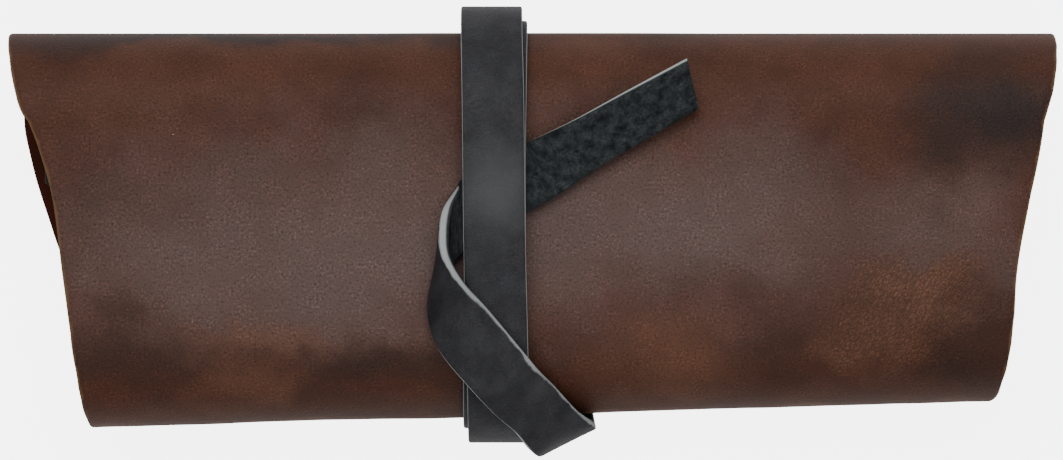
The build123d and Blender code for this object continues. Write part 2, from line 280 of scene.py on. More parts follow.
def flat_grid(cut: Cut, lay: Callable[[float, float], Point]) -> bmesh.types.BMesh:
    """Closed flat piece of leather, its grain side up, with its true edges rounded.

    Args:
        cut: the divisions, thickness and free edges.
        lay: where a share across and a share along lie on the flat leather.

    Returns:
        The mesh, its face materials set by side.
    """
    mesh = bmesh.new()
    bmesh.ops.create_grid(mesh, x_segments=cut.columns, y_segments=cut.rows, size=0.5)
    seams = set()
    for vert in mesh.verts:
        across, along = vert.co.x + 0.5, vert.co.y + 0.5
        eased = 0.5 - 0.5 * math.cos(math.pi * along)
        vert.co = Vector((*lay(across, eased if cut.rows < EVEN_ROWS else along), 0.0))
        if (along < ON_END and not cut.free_start) or (along > 1 - ON_END and not cut.free_end):
            seams.add(round(vert.co.y, 9))

    def at_seam(part: bmesh.types.BMEdge | bmesh.types.BMFace) -> bool:
        """Whether a part lies wholly on a seam with the next piece."""
        return all(round(v.co.y, 9) in seams for v in part.verts)

    middle = cut.thickness * 0.5
    bmesh.ops.solidify(mesh, geom=list(mesh.faces), thickness=cut.thickness)
    for vert in mesh.verts:
        if vert.co.z < -middle:
            vert.co.z = -cut.thickness
    mesh.normal_update()
    borders = [
        each for each in mesh.edges
        if len(each.link_faces) == 2 and each.calc_face_angle() >= BORDER_ANGLE and not at_seam(each)
        and abs(each.verts[0].co.z - each.verts[1].co.z) <= middle
    ]
    bmesh.ops.bevel(
        mesh, geom=borders, offset=cut.edge, offset_type="OFFSET", affect="EDGES", segments=2, profile=0.5,
        material=-1, clamp_overlap=False,
    )
    mesh.normal_update()
    for face in mesh.faces:
        rough = face.normal.z < -0.5 or at_seam(face)
        face.material_index = Face.GRAIN if face.normal.z > 0.5 else Face.FLESH if rough else Face.CUT
        face.smooth = True
    return mesh


def leather_piece(
    name: str,
    cut: Cut,
    lay: Callable[[float, float], Point],
    place: Place,
    edge_distance: Callable[[float, float], float] | None = None,
    lift: float = 0.0,
) -> bpy.types.Object:
    """Bend a flat cut of leather into its place.

    Args:
        name: of the object.
        cut: the divisions, thickness and free edges.
        lay: where a share across and a share along lie on the flat leather.
        place: where a point of the flat leather's grain side comes to lie.
        edge_distance: distance on the flat leather to the nearest cut edge.
        lift: how far the grain side lies outside its place.

    Returns:
        The object, with UV in metres on the flat leather and the attributes edge_distance and through.
    """
    mesh = flat_grid(cut, lay)
    uv = mesh.loops.layers.uv.new("UVMap")
    distance = mesh.verts.layers.float.new("edge_distance")
    through = mesh.verts.layers.float.new("through")
    flat = {v: v.co.copy() for v in mesh.verts}
    for face in mesh.faces:
        for loop in face.loops:
            loop[uv].uv = flat[loop.vert].xy
    for vert, co in flat.items():
        here = place(co.x, co.y)
        across = place(co.x + TRACE, co.y) - place(co.x - TRACE, co.y)
        along = place(co.x, co.y + TRACE) - place(co.x, co.y - TRACE)
        normal = across.cross(along).normalized()
        vert.co = here + normal * (co.z + lift)
        vert.co.z = max(vert.co.z, 0.0)
        vert[through] = -co.z / cut.thickness
        if edge_distance:
            vert[distance] = edge_distance(co.x, co.y)
    mesh.normal_update()
    for each in mesh.edges:
        if len(each.link_faces) == 2 and each.calc_face_angle() > CREASE_ANGLE:
            each.smooth = False
    return add_object(name, mesh)


# ---- Sizes ----


@dataclass(frozen=True)
class RollSizes:
    """Sizes of the rolled cover, in metres, read from the frame where its nodes show them.

    Attributes:
        height: from the table to the front flap's outer face.
        rear: Y of the wide fold's outer face.
        front: Y of the narrow end's outer face.
        leather: thickness.
        waist: how far the strap lifts the underside at its middle.
        lap_gap: between the front flap and the inner flap.
        end_gap: between the narrow end and the inner turn.
        slant: of the narrow end, Y per X.
        waist_left: X where the waist is full, at its left.
        waist_right: X where it is full, at its right.
        waist_ramp: length over which it fades.
        waist_top: height above which nothing is squeezed.
    """

    height: float
    rear: float
    front: float
    leather: float
    waist: float
    lap_gap: float = 1.0 * MM
    end_gap: float = 2.2 * MM
    slant: float = 0.0333
    waist_left: float = -17.5 * MM
    waist_right: float = 18.5 * MM
    waist_ramp: float = 24.0 * MM
    waist_top: float = 27.0 * MM

    @staticmethod
    def from_frame(joints: Sequence[dict]) -> "RollSizes":
        """Read the sizes that the frame's nodes and joints show.

        Args:
            joints: the frame's joints.

        Returns:
            The roll's sizes.
        """
        flap_low, flap_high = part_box("front_flap")
        leather = flap_high.z - flap_low.z
        lower_bend = next(j for j in joints if j["name"] == "flap_end_lower_bend")
        return RollSizes(
            height=flap_high.z,
            rear=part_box("wide_fold_mid")[1].y,
            front=lower_bend["pos_m"][1] - leather,
            leather=leather,
            waist=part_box("back_panel")[1].z - leather,
        )

    @property
    def inner_top(self) -> float:
        """Height of the inner flap's upper face."""
        return self.height - self.leather - self.lap_gap

    def waist_at(self, x: float) -> float:
        """Height of the roll's underside at x, where the strap squeezes it."""
        away = max(self.waist_left - x, x - self.waist_right, 0.0)
        return self.waist * smooth(1 - away / self.waist_ramp)

    def squeezed(self, z: float, x: float) -> float:
        """Height at x of what lies at z away from the waist."""
        share = 1 - max(0.0, z - self.leather) / (self.waist_top - self.leather)
        return z + self.waist_at(x) * max(0.0, share)


def fold_section(side: float, base: float, top: float) -> list[Point]:
    """Points of half an octagon round a fold, table side first.

    Args:
        side: Y of the fold's outer face.
        base: height where it starts.
        top: height where it ends.

    Returns:
        Tangent points and corners in turn, nine of them.
    """
    apothem = (top - base) / 2
    sign = math.copysign(1.0, side)
    middle_y, middle_z = side - sign * apothem, (base + top) / 2
    points = []
    for i in range(9):
        angle = math.radians(-90 + 22.5 * i)
        reach = apothem / math.cos(math.pi / 8) if i % 2 else apothem
        points.append((middle_y + sign * reach * math.cos(angle), middle_z + reach * math.sin(angle)))
    return points


# ---- Cover ----

LEFT_EDGE = (
    (0, -87), (1, -90.5), (2, -91.5), (3, -92.5), (4, -95.2), (5, -97.6), (5.48, -103.8), (5.69, -107.0),
    (5.83, -108.6), (6, -109.9), (7, -110.6), (8, -110.9), (8.40, -111.3), (8.85, -110.6), (9.48, -109.1),
    (9.92, -107.0), (10.116, -103.9), (10.246, -102.0), (10.343, -100.9), (10.517, -99.7), (10.681, -98.8),
    (10.862, -97.7), (11, -96.9), (12, -95.1), (13, -93.8), (14, -93.4),
)  # place round the cover and X in mm
RIGHT_EDGE = (
    (0, 90), (1, 94), (2, 95), (3, 96), (4, 97.2), (5, 99), (6, 109), (7, 110.6), (8, 111.2), (8.70, 111.4),
    (9.34, 110.4), (9.66, 109.5), (10.11, 107.3), (10.451, 104.5), (10.654, 103.0), (10.887, 101.9),
    (11.41, 101.1), (11.9, 100.2), (12.56, 98.9), (13, 97.9), (14, 97.0),
)


@dataclass
class Stretch:
    """One length of the cover between two places round the roll.

    Attributes:
        name: of the piece.
        nodes: CAD nodes that it stands for.
        bodies: the body it rides, or the two that it bends between.
        rows: divisions along it.
    """

    name: str
    nodes: tuple[str, ...]
    bodies: tuple[str, ...]
    rows: int = 11


STRETCHES = (
    Stretch("cover_inner_flap", ("inner_flap",), ("inner_flap",), 10),
    Stretch("cover_inner_bend_4", (), ("inner_flap", "inner_fold_high")),
    Stretch("cover_inner_bend_3", ("inner_fold_high",), ("inner_fold_high", "inner_fold_mid")),
    Stretch("cover_inner_bend_2", ("inner_fold_mid",), ("inner_fold_mid", "inner_fold_low")),
    Stretch("cover_inner_bend_1", ("inner_fold_low",), ("inner_fold_low", "back")),
    Stretch("cover_back", ("back_panel",), ("back",), 22),
    Stretch("cover_wide_bend_1", ("wide_fold_low",), ("back", "wide_fold_low")),
    Stretch("cover_wide_bend_2", ("wide_fold_mid",), ("wide_fold_low", "wide_fold_mid")),
    Stretch("cover_wide_bend_3", ("wide_fold_high",), ("wide_fold_mid", "wide_fold_high")),
    Stretch("cover_wide_bend_4", (), ("wide_fold_high", "front_flap")),
    Stretch("cover_front", ("front_flap",), ("front_flap",), 24),
    Stretch("cover_end_bend_1", ("flap_end_bend",), ("front_flap", "flap_end_bend")),
    Stretch("cover_end_bend_2", (), ("flap_end_bend", "flap_end")),
    Stretch("cover_end_hem", ("flap_end",), ("flap_end",), 6),
)


DENTS_FROM = 9.2   # place round the cover where its dents begin
DENTS_FADE = 0.8   # stretches over which they reach their depth


@dataclass
class Cover:
    """The cover: one tapered sheet of waxed leather, bent round from the inner flap to the front's end.

    Attributes:
        sizes: of the roll.
        columns: divisions across the leather.
        corners: the corner that each stretch's bend rounds off.
        joins: where the stretches meet, in Y and Z.
        lengths: round the cover, at each join.
        inner_end: Y where the inner flap ends.
        hem_end: height where the narrow end's hem ends.
        slack: how far the narrow end stands outside the CAD's.
        skewed: slant of the narrow end, Y per X.
        reach: furthest X of its side edges.
        wave: height of the small waves of its side edges.
        dents: depth of the soft dents in its front.
        broad_dent: size of the broad ones.
        fine_dent: size of the fine ones.
        strap_x: X of the wraps' middle.
        calm: how far from there the leather stays smooth.
        calm_fade: length over which the dents then begin.
        front_spare: how far inside its seams a bend of the front starts and stops.
        rear_spare: the same for the other bends.
    """

    sizes: RollSizes
    columns: int = 104
    corners: list[Point] = field(init=False)
    joins: list[Point] = field(init=False)
    lengths: list[float] = field(init=False)
    inner_end: float = -1.5 * MM
    hem_end: float = 11.9 * MM
    slack: float = 0.4 * MM
    skewed: float = 0.0295
    reach: float = 111.4 * MM
    wave: float = 0.22 * MM
    dents: float = 0.42 * MM
    broad_dent: float = 26 * MM
    fine_dent: float = 8 * MM
    strap_x: float = -7.9 * MM
    calm: float = 12 * MM
    calm_fade: float = 14 * MM
    front_spare: float = 0.5 * MM
    rear_spare: float = 0.12 * MM

    def __post_init__(self) -> None:
        """Work out the section: where the stretches join and the corner that each bend rounds off."""
        size = self.sizes
        inner = fold_section(size.front + size.leather + size.end_gap, 0.0, size.inner_top)[::-1]
        wide = fold_section(size.rear, 0.0, size.height)
        front = size.front - self.slack
        end = fold_section(front, 0.0, size.height)[::-1]
        start = (self.inner_end, size.inner_top)
        self.joins = [start, *inner[0::2], *wide[0::2], *end[0:5:2], (front, self.hem_end)]
        middle = [((a[0] + b[0]) / 2, (a[1] + b[1]) / 2) for a, b in zip(self.joins, self.joins[1:])]
        self.corners = [
            middle[0], *inner[1::2], middle[5], *wide[1::2], middle[10], *end[1:5:2], middle[13],
        ]
        self.lengths = [0.0]
        for a, b, c in zip(self.joins, self.corners, self.joins[1:]):
            points = [quadratic(a, b, c, i / 8) for i in range(9)]
            self.lengths.append(self.lengths[-1] + lengths_along(points)[-1])

    def place_of(self, s: float) -> float:
        """Place round the cover, in stretches, of a length from the inner flap's end."""
        i = min(max(bisect_right(self.lengths, s) - 1, 0), len(STRETCHES) - 1)
        return i + (s - self.lengths[i]) / (self.lengths[i + 1] - self.lengths[i])

    def length_at(self, q: float) -> float:
        """Length from the inner flap's end to a place round the cover."""
        i = min(int(q), len(STRETCHES) - 1)
        return self.lengths[i] + (q - i) * (self.lengths[i + 1] - self.lengths[i])

    def skew(self, q: float) -> float:
        """Share of the slant at a place round the cover: none at the wide fold, all at the narrow end."""
        if q <= 6:
            return smooth(6 - q)
        return smooth(q - 10)

    def edges(self, q: float) -> Point:
        """X of the left and right edge at a place round the cover, with the cut's small waves."""
        left, right = hermite(LEFT_EDGE, q) * MM, hermite(RIGHT_EDGE, q) * MM
        return (
            max(left + self.wave * ripple(q * 3, 0.0, 4.0, 1.0), -self.reach),
            min(right + self.wave * ripple(q * 3, 0.0, 9.0, 1.0), self.reach),
        )

    def section(self, q: float) -> Point:
        """Y and height of the outer face at a place round the cover."""
        i = min(max(math.floor(q), 0), len(STRETCHES) - 1)
        return quadratic(self.joins[i], self.corners[i], self.joins[i + 1], q - i)

    def at(self, x: float, s: float) -> Vector:
        """Point of the outer face.

        Args:
            x: along the roll.
            s: length round the cover from the inner flap's end.

        Returns:
            The point, with the leather's gentle waves.
        """
        q = self.place_of(s)
        y, z = self.section(q)
        y += self.skewed * self.skew(q) * x
        depth = self.swell(x, s, q)
        inward_y, inward_z = self.inward(q)
        return Vector((x, y + inward_y * depth, self.sizes.squeezed(z, x) + inward_z * depth))

    def inward(self, q: float) -> Point:
        """Direction into the roll at a place round the cover, in Y and Z."""
        (y0, z0), (y1, z1) = self.section(q - 0.02), self.section(q + 0.02)
        length = math.hypot(y1 - y0, z1 - z0)
        return ((z0 - z1) / length, (y1 - y0) / length)

    def swell(self, x: float, s: float, q: float) -> float:
        """How far the leather lies inside its smooth shape: soft dents, none near the pocket or the strap."""
        amount = self.dents * smooth((q - DENTS_FROM) / DENTS_FADE)
        away = smooth((abs(x - self.strap_x) - self.calm) / self.calm_fade)
        dent = 0.5 + 0.5 * ripple(x, s, 2.0, self.broad_dent) + 0.22 * ripple(x, s, 7.0, self.fine_dent)
        return amount * away * max(dent, 0.0)

    def edge_distance(self, x: float, s: float) -> float:
        """Distance on the flat leather to its nearest cut edge."""
        left, right = self.edges(self.place_of(s))
        return max(min(x - left, right - x, s, self.lengths[-1] - s), 0.0)

    def build(self, *finishes: bpy.types.Material) -> None:
        """Make every stretch, hang each one that rides a single body on it, and hide what it stands for.

        Args:
            finishes: grain side, flesh side and cut edge.
        """
        for i, stretch in enumerate(STRETCHES):
            last = len(STRETCHES) - 1
            cut = Cut(self.sizes.leather, self.columns, stretch.rows, i == 0, i == last)

            def lay(across: float, along: float, i: int = i) -> Point:
                """Place on the flat leather of shares across and along."""
                left, right = self.edges(i + along)
                return (-right + (right - left) * across, self.length_at(i + along))

            piece = leather_piece(
                stretch.name, cut, lay, lambda x, s: self.at(-x, s), lambda x, s: self.edge_distance(-x, s)
            )
            alone = len(stretch.bodies) == 1
            dress(piece, stretch.bodies[0] if alone else None, stretch.nodes, finishes)
            if not alone:
                self.bend_between(piece, stretch, i)
            left, right = self.edges(i + 0.5)
            width, length = right - left, self.lengths[i + 1] - self.lengths[i]
            max(length, SHORTEST_SIDE)

    def bend_between(self, piece: bpy.types.Object, stretch: Stretch, i: int) -> None:
        """Work out where a stretch's bend starts and ends between its seams, and bake the piece's place into
        its mesh.

        Args:
            piece: the stretch's object.
            stretch: names its bodies.
            i: its number.
        """
        (y0, _), (y1, _) = self.joins[i], self.joins[i + 1]
        sign = math.copysign(1.0, y1 - y0)
        spare = self.front_spare if i > 8 else self.rear_spare
        starts = (y0, y0 + self.inward(i)[0] * self.sizes.leather)
        ends = (y1, y1 + self.inward(i + 1)[0] * self.sizes.leather)
        start = max(y * sign for y in starts) * sign + spare * sign
        end = min(y * sign for y in ends) * sign - spare * sign
        slant = self.skewed * self.skew(float(i) + 0.5) * (end - start)
        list(stretch.bodies)
        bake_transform(piece)


# ---- Strap ----

OVER_STATIONS = (
    ((1.53, 1.38, 1.3), (0.53, 1.38, 2.3)), ((1.64, 1.94, 0.15), (0.70, 1.98, 1.2)),
    ((1.64, 2.56, 0.05), (0.76, 2.56, 1.70)), ((1.59, 3.08, 0.15), (0.73, 2.94, 1.9)),
    ((1.30, 3.42, 0.6), (0.61, 3.22, 3.0)), ((0.94, 3.84, 0.7), (0.34, 3.46, 2.9)),
    ((0.68, 4.12, 2.2), (0.01, 3.69, 2.8)), ((0.42, 4.26, 2.25), (-0.32, 3.93, 2.5)),
    ((-0.12, 4.54, 2.2), (-0.79, 4.19, 2.2)),
)  # upper and lower edge of the loose run: widths across, corner of the wraps' line, layers up
TURN_STATIONS = (
    ((-0.50, -11.0, 2.8), (-0.98, -20.5, 1.0)), ((-0.75, -5.6, 2.45), (-1.00, -15.5, 0.35)),
    ((-0.80, -0.6, 1.7), (-0.92, -11.5, 0.1)), ((-0.75, 4.6, 0.65), (-0.73, -8.2, 0.0)),
    ((-0.59, 8.6, 0.0), (-0.46, -4.3, 0.0)),
)  # upper and lower edge where it turns over: widths across, Y in mm, layers up
WRAP_ROWS = 150         # divisions along each wrap
SWAY = 0.2 * MM         # how far a wrap wanders to either side
SWAY_LENGTH = 30 * MM   # length of that wandering
TAIL_STATIONS = (
    ((1.26, 22.8, 0.55), (1.67, 12.9, 0.0)), ((2.15, 29.0, 1.3), (2.53, 19.7, 0.2)),
    ((3.11, 35.6, 1.9), (3.30, 25.7, 0.4)),
)


@dataclass(frozen=True)
class StrapSizes:
    """Sizes of the strap, in metres, read from the frame where its nodes show them.

    Attributes:
        left: X of the wraps' left edge.
        right: X of their right edge.
        thickness: of the leather.
        tuck_height: height of the tucked strap's middle.
        gap: air between the strap and what it lies on.
        layer: height of one strap with its air.
        start: Y of the fixed end.
        first_end: Y where the first wrap ends under the roll.
        step: Y where the second wrap starts to step over the first, and where it has.
        last_step: how far short of the last corner the second wrap ends.
        tuck_y: Y of the tucked strap at the wraps' middle.
        tuck_room: free length on each side of the tuck where the wraps stand clear.
        tail_angle: of the tail to the roll.
        rear_turn: how far inside the rear corner the loose run meets the table.
        front_upper: how far past the front corner its first edge leaves the table.
        front_lower: how far past it the other edge does.
    """

    left: float
    right: float
    thickness: float
    tuck_height: float
    gap: float = 0.4 * MM
    layer: float = 3.1 * MM
    start: float = 20.0 * MM
    first_end: float = 29.6 * MM
    step: tuple[float, float] = (28.4 * MM, 21.0 * MM)
    last_step: float = 3.8 * MM
    tuck_y: float = 7.0 * MM
    tuck_room: float = 1.5 * MM
    tail_angle: float = math.radians(29.7)
    rear_turn: float = 2.37 * MM
    front_upper: float = 3.63 * MM
    front_lower: float = 2.23 * MM

    @staticmethod
    def from_frame() -> "StrapSizes":
        """Read the sizes that the strap's nodes show."""
        low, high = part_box("strap_first_wrap")
        tuck_low, tuck_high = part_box("strap_tuck")
        return StrapSizes(low.x, high.x, tuck_high.z - tuck_low.z, (tuck_high.z + tuck_low.z) / 2)

    @property
    def middle(self) -> float:
        """X of the wraps' middle."""
        return (self.left + self.right) / 2

    @property
    def width(self) -> float:
        """Width of the strap."""
        return self.right - self.left


@dataclass
class Strap:
    """The strap: two wraps, the loose run that turns over, the part tucked under the wraps and the tail.

    Attributes:
        sizes: of the strap.
        roll: sizes of what it is wrapped round.
        path: corners of the line that the wraps follow, in Y and Z.
        before_tuck: how far left of the wraps the tucked length starts.
        past_tuck: how far right of them it ends.
        bend_arm: how far from a corner the strap starts to bend.
        flattened: share of its height that is left when the case lies open; not used.
    """

    sizes: StrapSizes
    roll: RollSizes
    path: list[Point] = field(init=False)
    before_tuck: float = 0.4 * MM
    past_tuck: float = 0.2 * MM
    bend_arm: float = 8.6 * MM
    flattened: float = 0.012

    def __post_init__(self) -> None:
        """Work out the wraps' corners, from the fixed end under the roll round to the first wrap's end."""
        size, roll = self.sizes, self.roll
        skewed = roll.slant * (abs(size.middle) + size.width / 2)
        end = [(y - skewed, z) for y, z in fold_section(roll.front, 0.0, roll.height)[1::2]]
        inner = fold_section(roll.front + roll.leather + roll.end_gap, 0.0, roll.inner_top)
        wide = fold_section(roll.rear, 0.0, roll.height)[1::2]
        bulge = size.tuck_height + size.thickness / 2
        low = self.tuck_edges(size.left)[1].y - size.tuck_room
        high = self.tuck_edges(size.right)[0].y + size.tuck_room
        corners = [
            (size.start, 0.0), (inner[1][0] - skewed, 0.0), *end[1:], (low, bulge), (high, bulge),
            *wide[::-1], (size.first_end, 0.0),
        ]
        self.path = [(y, roll.squeezed(z, size.middle)) for y, z in corners]

    @property
    def pull(self) -> Vector:
        """Direction in which the tail draws out."""
        return Vector((math.cos(self.sizes.tail_angle), math.sin(self.sizes.tail_angle), 0.0))

    def tuck_edges(self, upper_x: float) -> Pair:
        """Upper and lower edge of the tucked strap, square across it, where its upper edge is at upper_x."""
        size = self.sizes
        across = Vector((-math.sin(size.tail_angle), math.cos(size.tail_angle), 0.0)) * (size.width / 2)
        x = upper_x - across.x
        y = size.tuck_y + (x - size.middle) * math.tan(size.tail_angle)
        centre = Vector((x, y, size.tuck_height))
        return centre + across, centre - across

    def lift(self, layers: float) -> float:
        """Height of the strap's middle over what it lies on, that many layers up."""
        return self.sizes.gap + self.sizes.thickness / 2 + layers * self.sizes.layer

    def over(self, across: float, corner: float, layers: float) -> Vector:
        """Point over the wraps' line.

        Args:
            across: strap widths from the wraps' middle.
            corner: number of the corner of the wraps' line, with a share of the way to the next.
            layers: layers of strap below it.

        Returns:
            The point.
        """
        line = outward(self.path, self.lift(layers))
        i = int(corner)
        return Vector((self.across(across), *between(line[i], line[i + 1], corner - i)))

    def across(self, widths: float) -> float:
        """X of a place that many strap widths from the wraps' middle."""
        return self.sizes.middle + self.sizes.width * widths

    def on_front(self, across: float, y: float, layers: float) -> Vector:
        """Point over the front flap, with y in mm."""
        return Vector((self.across(across), y * MM, self.roll.height + self.lift(layers)))

    def under(self, across: float, y: float) -> Vector:
        """Point of the strap where it lies on the table."""
        return Vector((self.across(across), y, self.sizes.thickness / 2))

    def run_stations(self) -> list[Pair]:
        """Upper and lower edge of the loose run, from the rear of the second wrap to its last turn."""
        size = self.sizes
        line = outward(self.path, self.lift(2))
        leaving = toward(line[-2], line[-3], size.last_step)
        rear, front = self.path[-2][0] - size.rear_turn, self.path[1][0]
        pairs = [
            (Vector((size.right, *leaving)), Vector((size.left, *leaving))),
            (self.under(0.56, rear), self.under(-0.44, rear)),
            (self.under(0.96, (rear + front) / 2), self.under(-0.04, (rear + front) / 2)),
            (self.under(1.36, front - size.front_upper), self.under(0.37, front - size.front_lower)),
        ]
        pairs += [(self.over(*u), self.over(*v)) for u, v in OVER_STATIONS]
        pairs += [(self.on_front(*u), self.on_front(*v)) for u, v in TURN_STATIONS]
        return pairs + [self.tucked(0.0, 0.0), self.tucked(3.2, 0.2), self.tucked(6.4, 0.4)]

    def tucked(self, upper: float, lower: float) -> Pair:
        """Edges of the tucked strap, each drawn that many mm along it from where it goes under the wraps."""
        start = self.tuck_edges(self.sizes.left - self.before_tuck)
        return start[0] + self.pull * (upper * MM), start[1] + self.pull * (lower * MM)

    def band(
        self, name: str, rows: int, edges: Callable[[float], Pair], length: float,
        free: tuple[bool, bool] = (True, True), rim: bool = False,
    ) -> bpy.types.Object:
        """One length of strap between two edges.

        Args:
            name: of the piece.
            rows: divisions along it.
            edges: its lower and upper edge at a share of its length.
            length: along its middle.
            free: whether its start and its end are real ends rather than seams.
            rim: only its upper edge counts as worn.

        Returns:
            The piece.
        """
        size = self.sizes
        cut = Cut(size.thickness, 10, rows, *free, edge=0.42 * MM)
        half = size.width / 2

        def lay(across: float, along: float) -> Point:
            """Place on the flat strap of shares across and along."""
            return (-half + size.width * across, along * length)

        def place(x: float, y: float) -> Vector:
            """Where a place of the flat strap comes to lie."""
            lower, upper = edges(y / length)
            return lower + (upper - lower) * ((x + half) / size.width)

        def edge_distance(x: float, y: float) -> float:
            """Distance on the flat strap to its nearest worn edge."""
            if rim:
                return max(half - x, 0.0)
            ends = [reach for reach, real in ((y, free[0]), (length - y, free[1])) if real]
            return max(min(half - abs(x), *ends, 1.0), 0.0)

        return leather_piece(name, cut, lay, place, edge_distance, size.thickness / 2)

    def wrap(self, name: str, line: Sequence[Point], shift: Point) -> bpy.types.Object:
        """One wrap whose middle follows a line.

        Args:
            name: of the piece.
            line: corners of its middle in Y and Z.
            shift: how far right it lies at Y 0, and how much more per metre of Y.

        Returns:
            The piece.
        """
        points = rounded(line, self.bend_arm)
        marks = lengths_along(points)
        even = []
        for i in range(WRAP_ROWS + 1):
            s = marks[-1] * i / WRAP_ROWS
            y, z = point_along(points, marks, s)
            sway = SWAY * ripple(s, 0.0, 3.0, SWAY_LENGTH)
            even.append(Vector((shift[0] + shift[1] * y + sway, y, z)))
        left, right = Vector((self.sizes.left, 0.0, 0.0)), Vector((self.sizes.right, 0.0, 0.0))

        def edges(t: float) -> Pair:
            """Left and right edge at a share of the length."""
            middle = spline_point(even, t)
            return middle + left, middle + right

        return self.band(name, WRAP_ROWS, edges, marks[-1])

    def run(
        self, name: str, pairs: Sequence[Pair], rows: int, free: tuple[bool, bool] = (True, True),
        rim: bool = False,
    ) -> bpy.types.Object:
        """A length of strap through pairs of upper and lower edge points."""
        upper, lower = [p[0] for p in pairs], [p[1] for p in pairs]
        length = sum(((a[0] + a[1] - b[0] - b[1]) / 2).length for a, b in zip(pairs, pairs[1:]))

        def edges(t: float) -> Pair:
            """Lower and upper edge at a share of the length."""
            return spline_point(lower, t), spline_point(upper, t)

        return self.band(name, rows, edges, length, free, rim)

    def build(self, rimmed: bpy.types.Material, *finishes: bpy.types.Material) -> None:
        """Make the strap's five lengths.

        Args:
            rimmed: grain side of the loose run, with its pale rim.
            finishes: grain side, flesh side and cut edge.
        """
        size, path = self.sizes, self.path
        half = size.thickness / 2
        first = outward(path, size.gap + half)
        raised = [*path[:-2], toward(path[-2], path[-3], size.last_step)]
        inside = size.gap + size.layer
        steps = [(size.step[0], self.roll.waist - size.gap), (size.step[1], self.roll.waist - inside)]
        second = outward([*steps, *outward(raised, inside)[1:]], half)
        past = self.tuck_edges(size.right + self.past_tuck)
        tuck = [self.tucked(6.8, 0.7), self.tucked(11.0, 8.0), past]
        tail = [past, *[(self.on_front(*u), self.on_front(*v)) for u, v in TAIL_STATIONS]]
        lengths = (
            (self.wrap("strap_wrap_under", first, (0.19 * MM, 0.006)), ("strap_first_wrap",), "back"),
            (self.wrap("strap_wrap_over", second, (0.22 * MM, -0.0176)), ("strap_second_wrap",), "back"),
            (
                self.run("strap_loose_run", self.run_stations(), 190, rim=True),
                ("strap_back_pass", "strap_diagonal", "strap_turn"), "back",
            ),
            (self.run("strap_tucked", tuck, 14, (True, False)), ("strap_tuck",), "strap_tuck"),
            (self.run("strap_tail_end", tail, 40, (False, True)), ("strap_tail",), "strap_tail"),
        )
        for piece, nodes, body in lengths:
            grain = rimmed if piece.name == "strap_loose_run" else finishes[0]
            dress(piece, body, nodes, (grain, *finishes[1:]))
            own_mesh(piece)


# ---- Pocket and its thread ----


@dataclass(frozen=True)
class PocketSizes:
    """Sizes of the pencil pocket, in metres.

    Attributes:
        leather: thickness.
        radius: inside a slot.
        left: X of its closed end.
        right: X of its open end.
        hem: width of the flat hem at the closed end.
        long_edge: Y of its long edge on the back panel.
        corner: rounding of its free corner.
        bend_gap: bare leather at each bend of the cover.
        thread: thickness of the thread.
        stitch: length of a stitch.
        pitch: from stitch to stitch.
        margin: from an edge to its seam.
        lift: air under the hems.
        bend: rounding where a slot rises from its hems.
        opening: length over which the slots rise from the closed end.
        thread_height: of a stitch over the leather, and as far into it.
    """

    leather: float = 0.9 * MM
    radius: float = 3.9 * MM
    left: float = -105.3 * MM
    right: float = -48.9 * MM
    hem: float = 11.4 * MM
    long_edge: float = 9.3 * MM
    corner: float = 2.2 * MM
    bend_gap: float = 0.6 * MM
    thread: float = 0.7 * MM
    stitch: float = 2.6 * MM
    pitch: float = 4.4 * MM
    margin: float = 1.6 * MM
    lift: float = 0.1 * MM
    bend: float = 1.1 * MM
    opening: float = 7.5 * MM
    thread_height: float = 0.3 * MM


ROUND_SAG = 1.42 * MM   # how far the rounded cover lies inside a flat, at the flat's ends


@dataclass(frozen=True)
class Facet:
    """One flat of the wide fold's inside, with a slot of the pocket on it."""

    name: str
    body: str
    start: Point
    end: Point

    @property
    def length(self) -> float:
        """Length of the flat."""
        return math.dist(self.start, self.end)

    def point(self, x: float, t: float, h: float) -> Vector:
        """Point at x along the roll, t round the cover from the flat's start and h into the roll."""
        dy = (self.end[0] - self.start[0]) / self.length
        dz = (self.end[1] - self.start[1]) / self.length
        return Vector((x, self.start[0] + dy * t - dz * h, self.start[1] + dz * t + dy * h))

    def sag(self, t: float) -> float:
        """How far the smooth cover lies inside this flat at t, none on the flat back panel."""
        away = t - self.length / 2
        if self.name == "back" and away < 0:
            return 0.0
        return ROUND_SAG * (away / (self.length / 2)) ** 2


